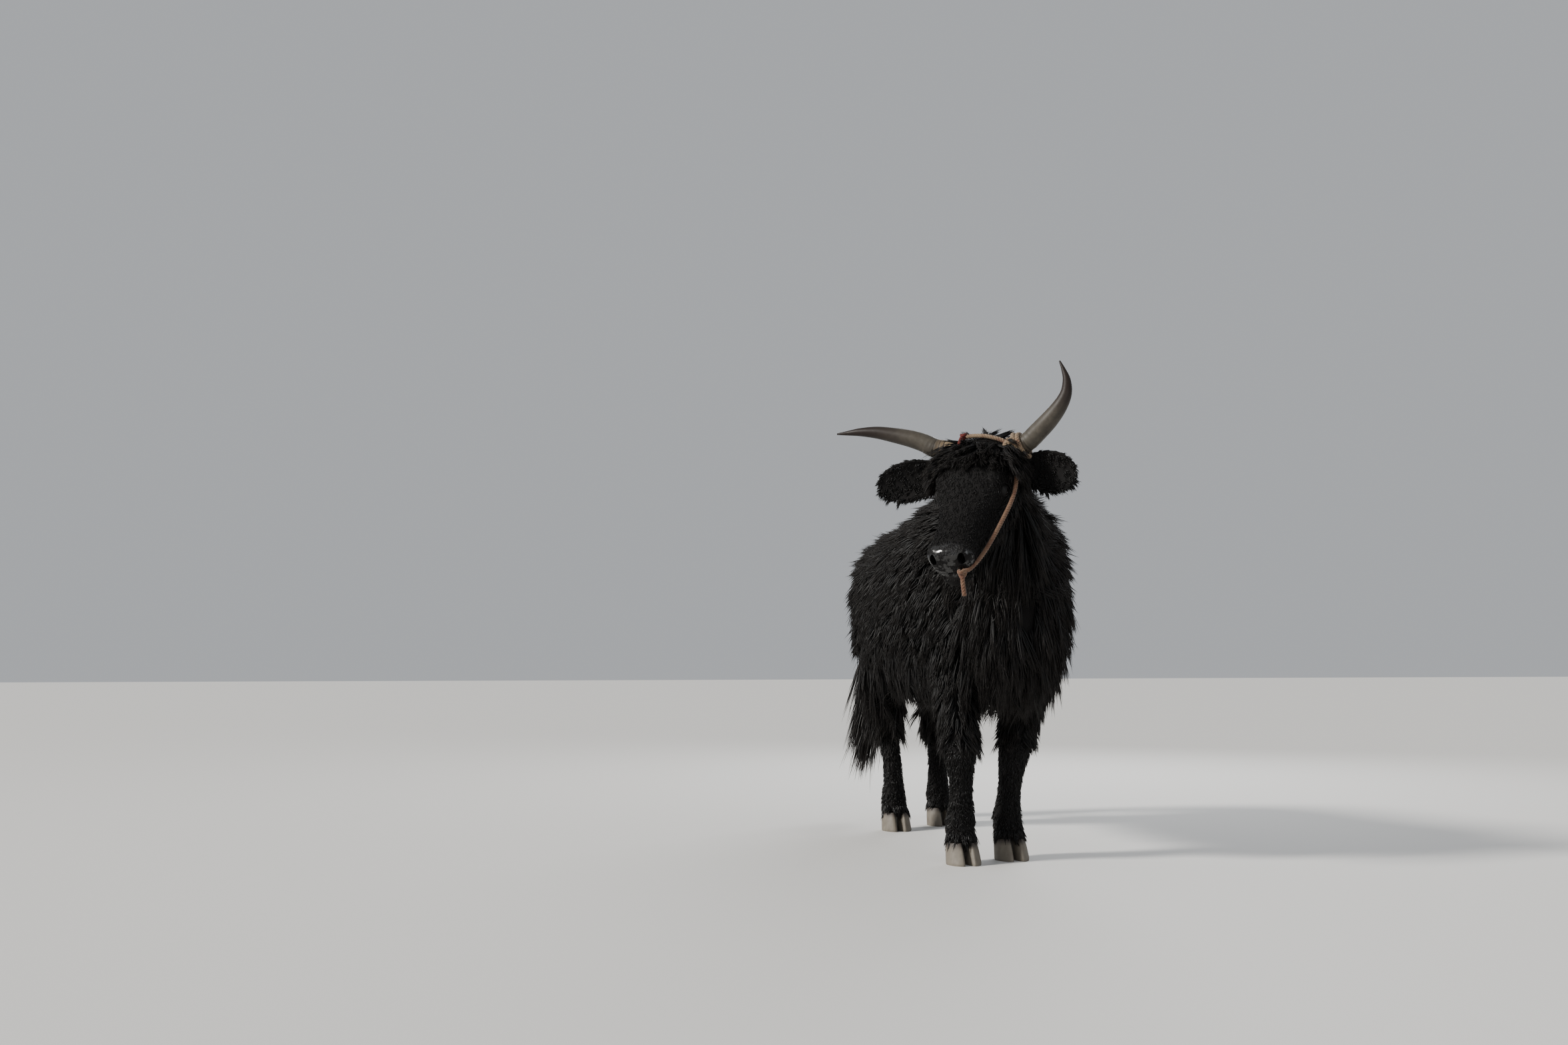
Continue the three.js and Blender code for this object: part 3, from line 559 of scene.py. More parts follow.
def headSkin():
    bm = bmesh.new()
    loft(bm, skull.rings(44, 40))
    ballPairs(bm, headForms)
    ball(bm, chin["centre"], chin["sizes"])
    for ear in ears.values():
        loft(bm, [earRing(ear, at, earWall) for at in np.linspace(-0.1, 0.99, 22)])
    head = objectOf(bm, "head_skin", shift=False)
    return remesh(head, skinSetup["headVoxel"], skinSetup["headSmooth"])


def mouthSlot():
    # thin at the back and open at the front, and lower towards the corners
    rings = []
    for x in np.linspace(-1, 1, 13):
        left, back = x * mouth["halfWidth"], mouth["back"] + mouth["cornerBack"] * abs(x)
        inner = mouth["innerAt"] - mouth["cornerDrop"] * abs(x)
        rings.append([
            onHead(back, left, inner - mouth["innerHalf"]),
            onHead(mouth["front"], left, mouth["bottom"]),
            onHead(mouth["front"], left, mouth["top"]),
            onHead(back, left, inner + mouth["innerHalf"]),
        ])
    bm = bmesh.new()
    loft(bm, rings)
    return objectOf(bm, "mouth", shift=False)


def buildSkin():
    body, head = bodySkin(), headSkin()
    bm = bmesh.new()
    ballPairs(bm, headHollows)
    cut(head, objectOf(bm, "hollows", shift=False), "DIFFERENCE")
    cut(head, mouthSlot(), "DIFFERENCE")
    cut(body, head, "UNION")
    bm = bmesh.new()
    bm.from_mesh(body.data)
    bmesh.ops.dissolve_degenerate(bm, dist=1e-5, edges=bm.edges)
    bm.to_mesh(body.data)
    bm.free()
    return body


skin = buildSkin()
print("skin made", len(skin.data.polygons))


def pointsOf(mesh):
    co = np.empty(len(mesh.vertices) * 3, np.float32)
    mesh.vertices.foreach_get("co", co)
    return co.reshape(-1, 3).astype(float)


def inHead(points):
    # the same places as share along the face, to its left, and out of it
    back = np.array(headFrame.inverted())
    return points @ back[:3, :3].T + back[:3, 3]


def step(value, low, high):
    w = np.clip((value - low) / (high - low), 0, 1)
    return w * w * (3 - 2 * w)


nosePad = {"from": (0.452, 0.468), "above": (-0.074, -0.066)}
lips = {"from": (0.43, 0.455), "line": -0.074, "fade": (0.008, 0.014)}


def bareness(points):
    # 1 on the nose pad and lips, 0 on the haired skin
    p = inHead(points)
    along, left, out = p[:, 0], np.abs(p[:, 1]), p[:, 2]
    edge = along - 0.28 * np.abs(left - 0.01) - 0.20 * np.minimum(0, out + 0.02)
    pad = step(edge, *nosePad["from"]) * step(out, *nosePad["above"])
    offLine = np.abs(out - lips["line"])
    lip = step(along, *lips["from"]) * (1 - step(offLine, *lips["fade"]))
    return np.where((along > 0.38) & (left < 0.13), np.maximum(pad, lip), 0)


def addFloat(mesh, name, values):
    attribute = mesh.attributes.new(name, "FLOAT", "POINT")
    attribute.data.foreach_set("value", np.asarray(values, np.float32))


skinTree = BVHTree.FromObject(skin, bpy.context.evaluated_depsgraph_get())
addFloat(skin.data, "bare", bareness(pointsOf(skin.data)))


def hideFinish():
    g = Graph("hide")
    bare = g.attribute("bare")
    grain = g.noise(260, 4, 0.6, stretch=(1, 1, 0.25))
    patch = g.noise(9, 3)
    pad = g.add("ShaderNodeTexVoronoi", {"feature": "F1"}, {"Vector": g.coords(), "Scale": 190})
    fur = g.mix(patch, (0.0022, 0.002, 0.002), (0.005, 0.0042, 0.004))
    wet = g.mix(grain, (0.0016, 0.0014, 0.0015), (0.0046, 0.004, 0.004))
    damp = g.between(0.46, 0.56, g.noise(46, 3, 0.6)) * bare
    height = grain * (1 - bare) * 0.8 + pad * bare
    return g.finish(
        colour=g.mix(bare, fur, wet),
        roughness=0.66 - bare * 0.14 + grain * 0.08,
        normal=g.bump(height, 0.0024, 0.9),
        specular=0.12,
        coat=damp * 0.9,
        coatRoughness=0.12,
    )


skin.data.transform(Matrix.Translation(bodyShift))
skin.data.polygons.foreach_set("use_smooth", [True] * len(skin.data.polygons))
dress(
    skin, hideFinish(), "coat",
    "torso_rump", "torso_barrel", "torso_shoulders", "neck", "tail", "head",
    "ear_right", "ear_left", "leg_front_right", "leg_front_left", "leg_hind_right",
    "leg_hind_left",
)
print("skin dressed")


def coatFinish(name, gloss, brown):
    g = Graph(name)
    tip = g.attribute("strand")
    shade = g.attribute("shade")
    patch = g.noise(6, 3)
    base = g.mix(shade, (0.0016, 0.0015, 0.0016), (0.0052, 0.0047, 0.0046))
    warm = g.mix(patch, (0.006, 0.0048, 0.004), (0.017, 0.0105, 0.007))
    return g.finish(
        colour=g.mix(g.between(0.45, 1.0, tip) * brown, base, warm),
        roughness=gloss + shade * 0.14,
        specular=0.27,
    )


coatFinishes = {
    "long": coatFinish("long_hair", 0.50, 0.5),
    "short": coatFinish("short_hair", 0.34, 0.25),
    "tail": coatFinish("tail_hair", 0.36, 0.6),
}
charts = {  # where each section's unwrap lies on the bake map: corner and size
    "trunk": (0.0, 0.0, 0.62, 0.60), "neck": (0.64, 0.0, 0.34, 0.36),
    "head": (0.64, 0.38, 0.34, 0.30), "dock": (0.50, 0.70, 0.22, 0.14),
    "front_right": (0.0, 0.62, 0.24, 0.17), "front_left": (0.25, 0.62, 0.24, 0.17),
    "hind_right": (0.0, 0.81, 0.24, 0.17), "hind_left": (0.25, 0.81, 0.24, 0.17),
    "right": (0.50, 0.86, 0.20, 0.13), "left": (0.72, 0.86, 0.20, 0.13),  # the ears
}
tuftSetup = {
    "patch": 0.003,  # its size on the bake map
    "sunk": 0.006,  # how far its root goes into the skin
    "depth": 0.55,  # its thickness as a share of its width
    "roll": 0.5,
    "perPiece": 190000,  # triangles
    "near": 0.09,  # a place farther than this from the skin is never lifted
    "lifts": (0.6, 1.4),
    "sizes": (0.75, 1.15),
    "widths": (0.7, 1.3),
    "hemVary": 0.022,
    "shortest": 0.18,
}


def scatter(tube, spanT, spanAngle, count, rng):
    # places spread evenly over a tube's side, by area
    steps, around = 60, 48
    t = np.linspace(*spanT, steps + 1)
    a = np.radians(np.linspace(*spanAngle, around + 1))
    grid = tube.point(*np.meshgrid(t, a, indexing="ij"))
    along, across = grid[1:, :-1] - grid[:-1, :-1], grid[:-1, 1:] - grid[:-1, :-1]
    area = np.linalg.norm(np.cross(along, across), axis=-1).ravel()
    cell = rng.choice(len(area), count, p=area / area.sum())
    i, j = cell // around, cell % around
    places = t[i] + (t[1] - t[0]) * rng.random(count)
    angles = a[j] + (a[1] - a[0]) * rng.random(count)
    return places, angles, tube.point(places, angles)


def rootOnSkin(points, reach):
    # the nearest places on the skin, and which of them are near enough to count
    spots = [skinTree.find_nearest(Vector(p)) for p in points]
    places = np.array([s[0] for s in spots])
    normals = np.array([s[1] for s in spots])
    away = np.array([s[3] for s in spots])
    return places, normals, away < reach


def above(points, clear):
    # lifts points that are nearer to the skin than this clearance
    out = points.copy()
    for i, p in enumerate(points):
        place, normal, _, _ = skinTree.find_nearest(Vector(p))
        high = (Vector(p) - place).dot(normal)
        if high < clear and (Vector(p) - place).length < tuftSetup["near"]:
            out[i] = place + normal * clear
    return out


def strandSpines(roots, normals, flow, field, rng):
    # lines that leave the skin along the flow, and bend as they hang
    count = len(roots)
    steps = field["steps"]
    length = field["length"] * (1 + field["lengthVary"] * rng.uniform(-1, 1, count))
    flow = unit(flow - normals * np.sum(flow * normals, 1)[:, None])
    across = np.cross(normals, flow)
    sway = rng.normal(0, field["sway"], count)[:, None]
    flow = unit(flow + across * sway)
    lift = np.radians(field["lift"]) * rng.uniform(*tuftSetup["lifts"], count)
    way = flow * np.cos(lift)[:, None] + normals * np.sin(lift)[:, None]
    curl = across * rng.normal(0, field["curl"], count)[:, None]
    wave = rng.uniform(0, 6.28, count)[:, None]
    hang = np.array(field["hang"], float)
    spine = [roots]
    for i in range(steps):
        spine.append(spine[-1] + way * (length / steps)[:, None])
        bend = across * np.sin(wave + i * 1.9) * field["wave"]
        way = unit(way + hang * field["droop"] + curl + bend)
    return np.stack(spine, 1)


taper = {  # a tuft's width at each of its steps, by their number
    2: (0.9, 0.85), 3: (0.8, 1, 0.62), 4: (0.7, 1, 0.82, 0.5), 5: (0.6, 1, 0.92, 0.72, 0.42),
}


def tuftMesh(name, roots, normals, spines, width, uv, rng):
    # each tuft is a three-sided blade that tapers to a point
    count, rows = spines.shape[0], spines.shape[1] - 1
    shares = np.array(taper[rows])
    along = unit(np.gradient(spines, axis=1)[:, :rows])
    side = unit(np.cross(along, normals[:, None, :]))
    roll = rng.normal(0, tuftSetup["roll"], (count, 1, 1))
    face = np.cross(side, along)
    side, face = (side * np.cos(roll) + face * np.sin(roll),
                  face * np.cos(roll) - side * np.sin(roll))
    half = (width[:, None] * shares / 2)[..., None]
    out, deep = side * half, face * (half * tuftSetup["depth"])
    base = spines[:, :rows].copy()
    base[:, 0] -= normals * tuftSetup["sunk"]
    ring = np.stack((base + out - deep, base + deep, base - out - deep), 2)
    verts = np.concatenate((ring.reshape(count, rows * 3, 3), spines[:, rows:]), 1)
    pattern = [(0, 2, 1)]
    for i in range(rows - 1):
        for j in range(3):
            a, b = i * 3 + j, i * 3 + (j + 1) % 3
            pattern += [(a, b, a + 3), (b, b + 3, a + 3)]
    top, tip = (rows - 1) * 3, rows * 3
    pattern += [(top + j, top + (j + 1) % 3, tip) for j in range(3)]
    pattern = np.array(pattern)
    own = rows * 3 + 1
    strand = np.concatenate((np.repeat(np.arange(rows) / rows, 3), [1.0]))
    shade = rng.random(count)
    perPiece = tuftSetup["perPiece"] // len(pattern)
    for part in range(0, count, perPiece):
        pick = slice(part, min(count, part + perPiece))
        n = pick.stop - pick.start
        faces = (pattern[None] + (np.arange(n) * own)[:, None, None]).reshape(-1)
        mesh = bpy.data.meshes.new(name)
        mesh.vertices.add(n * own)
        mesh.vertices.foreach_set("co", (verts[pick] + bodyShift).astype(np.float32).ravel())
        mesh.loops.add(len(faces))
        mesh.loops.foreach_set("vertex_index", faces.astype(np.int32))
        mesh.polygons.add(len(faces) // 3)
        mesh.polygons.foreach_set("loop_start", np.arange(0, len(faces), 3, dtype=np.int32))
        mesh.polygons.foreach_set("use_smooth", [True] * (len(faces) // 3))
        mesh.update(calc_edges=True)
        addFloat(mesh, "strand", np.tile(strand, n))
        addFloat(mesh, "shade", np.repeat(shade[pick], own))
        patch = np.stack((np.tile(strand, n), np.tile(np.arange(own) % 3 / 2, n)), 1)
        patch *= tuftSetup["patch"]
        corner = (np.repeat(uv[pick], own, axis=0) + patch)[faces]
        layer = mesh.uv_layers.new(name="OFBake")
        layer.data.foreach_set("uv", corner.astype(np.float32).ravel())
        number = part // perPiece
        yield linked(f"{name}_{number}" if count > perPiece else name, mesh)


triangleCount = 0


def growField(name, chart, field, seed, places, angles, points, flowOf, last):
    # guides lead the clumps, and each tuft follows the nearest guide
    global triangleCount
    rng = np.random.default_rng(seed)
    roots, normals, keep = rootOnSkin(points, field["reach"])
    keep &= bareness(roots) < 0.2
    if "skip" in field:
        keep &= ~field["skip"](roots)
    roots, normals = roots[keep], normals[keep]
    places, angles = places[keep], angles[keep]
    flow = flowOf(roots, normals, angles)
    leaders = rng.choice(len(roots), max(4, int(len(roots) * field["guides"])), replace=False)
    guide = strandSpines(roots[leaders], normals[leaders], flow[leaders], field, rng)
    rows = guide.shape[1]
    for i in range(1, rows):
        guide[:, i] = above(guide[:, i], field["clear"] * (0.6 + i * 0.8))
    tree = kdtree.KDTree(len(leaders))
    for i, p in enumerate(roots[leaders]):
        tree.insert(Vector(p), i)
    tree.balance()
    near = np.array([tree.find(Vector(p))[1] for p in roots])
    k = (np.arange(rows) / (rows - 1))[None, :, None]
    offset = guide[near] - guide[near][:, :1]
    size = rng.uniform(*tuftSetup["sizes"], len(roots))[:, None, None]
    apart = roots - guide[near][:, 0]
    if "lowest" in field:
        hem = field["lowest"] + rng.normal(0, tuftSetup["hemVary"], len(roots))
        fall = np.maximum(-offset[:, -1, 2] * size[:, 0, 0], 0.01)
        size *= np.clip((roots[:, 2] - hem) / fall, tuftSetup["shortest"], 1)[:, None, None]
    spines = roots[:, None] + offset * size - apart[:, None] * k**1.2 * field["clump"]
    spines = spines + rng.normal(0, field["loose"], (len(roots), 1, 3)) * k**1.5
    width = field["width"] * rng.uniform(*tuftSetup["widths"], len(roots))
    u, v, wide, tall = charts[chart]
    uv = np.stack((u + places / last * wide, v + (angles / (2 * math.pi) % 1) * tall), 1)
    for piece in tuftMesh(name, roots, normals, spines, width, uv, rng):
        dress(piece, coatFinishes[field["finish"]], "coat")
        triangleCount += len(piece.data.polygons)


def trunkFlow(roots, normals, angles):
    high = np.cos(angles)
    back = np.where(high > 0, 0.25 + 0.9 * high, 0.12)
    out = 0.45 * np.sign(np.sin(angles)) * np.maximum(high, 0)
    return np.stack((-back, out, np.full(len(roots), -1.0)), 1)


def hangingFlow(roots, normals, angles):
    return np.tile((-0.08, 0, -1.0), (len(roots), 1))


def neckFlow(roots, normals, angles):
    high = np.maximum(np.cos(angles), 0)[:, None]
    _, along, _, _ = neck.section(np.full(len(roots), 2.0))
    return -along * (0.45 + 0.5 * high) + np.array((0, 0, -1.0))


def faceFlow(roots, normals, angles):
    return headWay(1, 0, 0)[None] + headWay(0, 1, 0)[None] * inHead(roots)[:, 1:2] * 5


def pollFlow(roots, normals, angles):
    # forward and outward before the rope, backward behind it
    p = inHead(roots)
    ahead = np.tanh((p[:, 0:1] + 0.002) / 0.012)
    return headWay(1, 0, 0)[None] * 0.9 * ahead + headWay(0, 1, 0)[None] * p[:, 1:2] * 6


def templeFlow(roots, normals, angles):
    return np.tile(headWay(0.5, 0, 0) - worldUp, (len(roots), 1))


def jawFlow(roots, normals, angles):
    return headWay(0.1, 0, -0.4)[None] + np.tile((0, 0, -0.8), (len(roots), 1))


coatDefaults = {  # what a field doesn't say itself
    "steps": 4, "sway": 0.3, "curl": 0.06, "clump": 0.6, "loose": 0.008, "guides": 0.07,
    "clear": 0.01, "finish": "long", "reach": 0.02, "lengthVary": 0.25, "wave": 0.12,
    "hang": (0, 0, -1),
}
coatFields = {
    "body": {"count": 26000, "length": 0.088, "width": 0.0064, "lift": 18, "droop": 0.06,
             "steps": 3, "curl": 0.07, "clump": 0.55, "loose": 0.009, "guides": 0.045,
             "reach": 0.06},
    "skirt": {"count": 3400, "length": 0.15, "width": 0.0064, "lift": 12, "droop": 0.25,
              "sway": 0.18, "clear": 0.008, "lowest": 0.47},
    "chest": {"count": 3800, "length": 0.18, "width": 0.0064, "lift": 14, "droop": 0.25,
              "sway": 0.22, "curl": 0.07, "lowest": 0.475},
    "neck": {"count": 7600, "length": 0.098, "width": 0.0064, "lift": 17, "droop": 0.1,
             "steps": 3, "sway": 0.28, "curl": 0.07, "clump": 0.55, "loose": 0.009,
             "guides": 0.05, "reach": 0.04},
    "throat": {"count": 3000, "length": 0.2, "width": 0.0066, "lift": 18, "droop": 0.3,
               "sway": 0.18, "loose": 0.009},
    "upperLeg": {"count": 2400, "length": 0.072, "width": 0.005, "lift": 7, "droop": 0.14,
                 "sway": 0.2, "loose": 0.006, "guides": 0.08, "clear": 0.007, "lowest": 0.36},
    "thigh": {"count": 3000, "length": 0.15, "width": 0.0066, "lift": 13, "droop": 0.16,
              "sway": 0.2, "guides": 0.08, "clear": 0.008, "reach": 0.06, "lowest": 0.36},
    "shin": {"count": 3600, "length": 0.024, "width": 0.0034, "lift": 8, "droop": 0.1, "steps": 2,
             "sway": 0.22, "curl": 0.05, "clump": 0.3, "loose": 0.002, "guides": 0.1,
             "clear": 0.002, "finish": "short"},
    "pastern": {"count": 700, "length": 0.04, "width": 0.0036, "lift": 12, "droop": 0.16,
                "steps": 3, "sway": 0.25, "clump": 0.45, "loose": 0.003, "guides": 0.1,
                "clear": 0.003, "finish": "short"},
    "face": {"count": 14000, "length": 0.015, "width": 0.0027, "lift": 7, "droop": 0.0,
             "steps": 2, "sway": 0.25, "curl": 0.05, "clump": 0.25, "loose": 0.0015,
             "guides": 0.1, "clear": 0.0015, "finish": "short"},
    "forehead": {"count": 3900, "length": 0.066, "width": 0.004, "lift": 26, "droop": 0.05,
                 "sway": 0.5, "curl": 0.12, "loose": 0.005, "guides": 0.06, "clear": 0.004},
    "jaw": {"count": 2000, "length": 0.055, "width": 0.0048, "lift": 20, "droop": 0.22,
            "sway": 0.25, "clump": 0.5, "loose": 0.004, "clear": 0.004},
    "tail": {"count": 3000, "length": 0.36, "width": 0.0068, "lift": 8, "droop": 0.8, "steps": 5,
             "sway": 0.1, "curl": 0.03, "clump": 0.4, "loose": 0.02, "guides": 0.05,
             "hang": (-0.02, -0.2, -1), "lengthVary": 0.3, "clear": 0.004, "lowest": 0.19,
             "finish": "tail"},
    "ear": {"count": 2600, "length": 0.02, "width": 0.0027, "lift": 10, "droop": 0.08, "steps": 2,
            "clump": 0.4, "loose": 0.002, "guides": 0.08, "clear": 0.002, "finish": "short"},
    "fringe": {"count": 800, "length": 0.026, "width": 0.003, "lift": 14, "droop": 0.3,
               "steps": 3, "curl": 0.08, "loose": 0.004, "guides": 0.12, "clear": 0.002,
               "finish": "short"},
    "temple": {"count": 700, "length": 0.088, "width": 0.0042, "lift": 34, "droop": 0.34,
               "curl": 0.08, "clump": 0.55, "loose": 0.005, "guides": 0.1, "clear": 0.014},
    "rump": {"count": 900, "length": 0.15, "width": 0.007, "lift": 10, "droop": 0.6, "sway": 0.15,
             "curl": 0.04, "clump": 0.4, "guides": 0.08, "clear": 0.004, "finish": "tail"},
}
for name, own in coatFields.items():
    coatFields[name] = {**coatDefaults, **own}

sections = {"trunk": trunk, "neck": neck, "dock": dock, "head": skull}
sections.update({name: leg["tube"] for name, leg in legs.items()})
longHairEnds = {"front_right": 3.4, "front_left": 3.2, "hind_right": 3.6, "hind_left": 5.4}


def coatOf(name, section, spanT, spanAngle, kind, seed, flowOf):
    # hair of one kind over part of a section: from row to row, and from angle to angle
    tube, field = sections[section], coatFields[kind]
    rng = np.random.default_rng(seed + 1000)
    places, angles, points = scatter(tube, spanT, spanAngle, field["count"], rng)
    growField(name, section, field, seed, places, angles, points, flowOf, tube.last)


coatOf("coat_back", "trunk", (0.4, 12), (-122, 122), "body", 11, trunkFlow)
coatOf("coat_belly", "trunk", (1.2, 11), (112, 248), "skirt", 12, hangingFlow)
coatOf("coat_chest", "trunk", (9.6, 12), (60, 300), "chest", 13, hangingFlow)
print("trunk coat", triangleCount)
coatOf("coat_neck", "neck", (0.3, 4), (-110, 110), "neck", 21, neckFlow)
coatOf("coat_throat", "neck", (0.8, 3.9), (100, 260), "throat", 22, hangingFlow)
print("neck coat", triangleCount)
for number, (legName, leg) in enumerate(legs.items()):
    longEnd, last = longHairEnds[legName], leg["tube"].last
    longKind = "upperLeg" if leg["kind"] == "front" else "thigh"
    for label, span, kind, seed in (
        ("upper", (0.9, longEnd), longKind, 30), ("lower", (longEnd - 0.3, last), "shin", 40),
        ("pastern", (last - 1.3, last), "pastern", 45),
    ):
        coatOf(f"coat_{label}_{legName}", legName, span, (0, 360), kind, seed + number, hangingFlow)
print("leg coat", triangleCount)
coatOf("coat_tail_root", "dock", (0.8, 2.0), (0, 360), "rump", 50, hangingFlow)
coatOf("coat_tail", "dock", (1.7, 5), (0, 360), "tail", 51, hangingFlow)


eyeSetup = {
    "at": (0.182, 0.114, -0.024),  # the left one, on the head
    "radius": 0.019,
    "bareAt": (0.182, 0.118, -0.024),
    "bare": 0.024,  # no hair grows this near
    "lidOut": 0.0012,
    "lidWall": 0.0032,
    "lidGap": 0.50,
    "lidTilt": 16,
}
ropeBand = {"left": 0.13, "right": -0.07, "low": 0.02, "halfWidth": 0.011}


def nearEyes(roots):
    p = inHead(roots)
    p[:, 1] = np.abs(p[:, 1])
    return np.linalg.norm(p - eyeSetup["bareAt"], axis=1) < eyeSetup["bare"]


def offForehead(roots):
    # the eyes, and the band of the forehead that the rope crosses
    along, left, out = inHead(roots).T
    line = -0.008 + (left + 0.034) * 0.16
    crossed = (left > ropeBand["right"]) & (left < ropeBand["left"]) & (out > ropeBand["low"])
    return nearEyes(roots) | crossed & (np.abs(along - line) < ropeBand["halfWidth"])


coatFields["face"]["skip"] = nearEyes
coatFields["forehead"]["skip"] = offForehead
coatOf("coat_face", "head", (0.2, 12.4), (0, 360), "face", 61, faceFlow)
coatOf("coat_forehead", "head", (0, 3.4), (-78, 78), "forehead", 62, pollFlow)
coatOf("coat_temple_left", "head", (0.6, 3.2), (48, 98), "temple", 65, templeFlow)
coatOf("coat_temple_right", "head", (0.6, 3.2), (-98, -48), "temple", 66, templeFlow)
coatOf("coat_jaw", "head", (2.0, 9.0), (112, 248), "jaw", 63, jawFlow)
print("head coat", triangleCount)


def earSpots(ear, count, rng, edge=False):
    # places over an ear's outer and inner side, or along its lower edge
    start, along, length, facing, across = earFrame(ear)
    at = rng.uniform(0.0, 1.0, count)
    turn = rng.uniform(-80, 80, count) if not edge else np.full(count, 80.0) * np.sign(-across[2])
    width, cup = (np.interp(at, earRows[:, 0], earRows[:, k]) for k in (1, 2))
    inset = np.where(rng.random(count) < 0.5, 0.0, earWall)
    turn = np.radians(turn)
    out = np.sin(turn)[:, None] * across * (width / 2 - inset)[:, None]
    deep = -np.cos(turn) * (cup - inset * 0.9) + cup * 0.4
    points = start + along * (at * length)[:, None] + out + deep[:, None] * facing
    return at, turn, points


for number, (earName, ear) in enumerate(ears.items()):
    rng = np.random.default_rng(70 + number)
    _, earAlong, _, _, _ = earFrame(ear)

    def earFlow(roots, normals, angles, way=earAlong):
        return np.tile(way * 0.8 - worldUp * 0.5, (len(roots), 1))

    for kind, edge in (("ear", False), ("fringe", True)):
        field = coatFields[kind]
        at, turn, points = earSpots(ear, field["count"], rng, edge)
        label = f"coat_{kind}_{earName}"
        growField(label, earName, field, 80 + number * 2 + edge, at, turn, points, earFlow, 1)
print("all coat", triangleCount)


def eyeFinish():
    g = Graph("eye")
    depth = g.attribute("pupil")
    iris = g.mix(g.between(0.35, 0.62, depth), (0.030, 0.016, 0.008), (0.0015, 0.001, 0.001))
    white = g.mix(g.between(0.12, 0.2, depth), (0.020, 0.012, 0.010), iris)
    return g.finish(colour=white, roughness=0.14, specular=0.35)


def lidFinish():
    g = Graph("eyelid")
    grain = g.noise(420, 3)
    colour = g.mix(grain, (0.0022, 0.002, 0.002), (0.006, 0.005, 0.005))
    return g.finish(colour=colour, roughness=0.6, normal=g.bump(grain, 0.0008), specular=0.2)


eyeMaterial, lidMaterial = eyeFinish(), lidFinish()
for side, sideName in ((-1, "right"), (1, "left")):
    along, left, out = eyeSetup["at"]
    centre = Vector((along, side * left, out))
    bm = bmesh.new()
    bmesh.ops.create_uvsphere(bm, u_segments=40, v_segments=24, radius=eyeSetup["radius"])
    turn = Matrix.Rotation(side * math.radians(-90), 4, "X")
    place = headFrame @ Matrix.Translation(centre) @ turn
    bmesh.ops.transform(bm, matrix=place, verts=bm.verts)
    eye = objectOf(bm, f"eye_{sideName}_ball")
    looking = unit(headWay(0.25, side, 0.1))
    spots = pointsOf(eye.data) - bodyShift - onHead(*centre)
    addFloat(eye.data, "pupil", np.clip((unit(spots) @ looking - 0.72) / 0.28, 0, 1))
    dress(eye, eyeMaterial, "eye", f"eye_{sideName}")
    # two lids: a thin shell over the ball, open between its upper and lower rims
    bm = bmesh.new()
    bmesh.ops.create_uvsphere(bm, u_segments=48, v_segments=30, radius=1)
    opening = []
    for face in bm.faces:
        x, y, z = face.calc_center_median()
        gapHeight = eyeSetup["lidGap"] * max(0.0, 1 - (x / 0.86) ** 2)
        if z < -0.15 or (z > 0 and -gapHeight * 0.8 < y < gapHeight):
            opening.append(face)
    bmesh.ops.delete(bm, geom=opening, context="FACES")
    bmesh.ops.scale(bm, vec=[eyeSetup["radius"] + eyeSetup["lidOut"]] * 3, verts=bm.verts)
    bmesh.ops.recalc_face_normals(bm, faces=bm.faces)
    bmesh.ops.solidify(bm, geom=bm.faces, thickness=-eyeSetup["lidWall"])
    bmesh.ops.smooth_vert(bm, verts=bm.verts, factor=0.4, use_axis_x=True, use_axis_y=True,
                          use_axis_z=True)
    tilt = Matrix.Rotation(side * math.radians(eyeSetup["lidTilt"]), 4, "Z")
    bmesh.ops.transform(bm, matrix=place @ tilt, verts=bm.verts)
    dress(objectOf(bm, f"eyelids_{sideName}"), lidMaterial, "coat")
print("eyes made")


horns = {  # ahead of the poll, to its left, above it, and radius
    "right": (
        (0, -0.082, 0.010, 0.033), (0, -0.130, 0.018, 0.034), (0.005, -0.175, 0.028, 0.034),
        (0.010, -0.211, 0.047, 0.033), (0.020, -0.259, 0.065, 0.031), (0.030, -0.321, 0.081, 0.027),
        (0.040, -0.384, 0.094, 0.022), (0.050, -0.447, 0.099, 0.015), (0.055, -0.500, 0.098, 0.008),
        (0.060, -0.536, 0.097, 0.003),
    ),
    "left": (
        (0, 0.082, 0.006, 0.033), (0, 0.130, 0.012, 0.033), (0.004, 0.172, 0.027, 0.033),
        (0.010, 0.209, 0.056, 0.033), (0.020, 0.255, 0.094, 0.031), (0.020, 0.292, 0.137, 0.026),
        (0.020, 0.315, 0.180, 0.020), (0.010, 0.315, 0.226, 0.014), (0, 0.302, 0.264, 0.008),
        (-0.010, 0.285, 0.299, 0.003),
    ),
}
hornSetup = {"steps": 150, "around": 36, "rings": 9, "ringHeight": 0.0011, "ringEnd": 0.42,
             "darkRings": (0.125, 0.165, 0.215)}


def frameAlong(points):
    # an untwisted pair of directions across each step of a line
    along = unit(np.gradient(points, axis=0))
    side = unit(np.cross(along[0], (0.3, 0.2, 1.0)))
    sides = []
    for way in along:
        side = unit(side - way * (side @ way))
        sides.append(side)
    sides = np.array(sides)
    return along, sides, np.cross(along, sides)


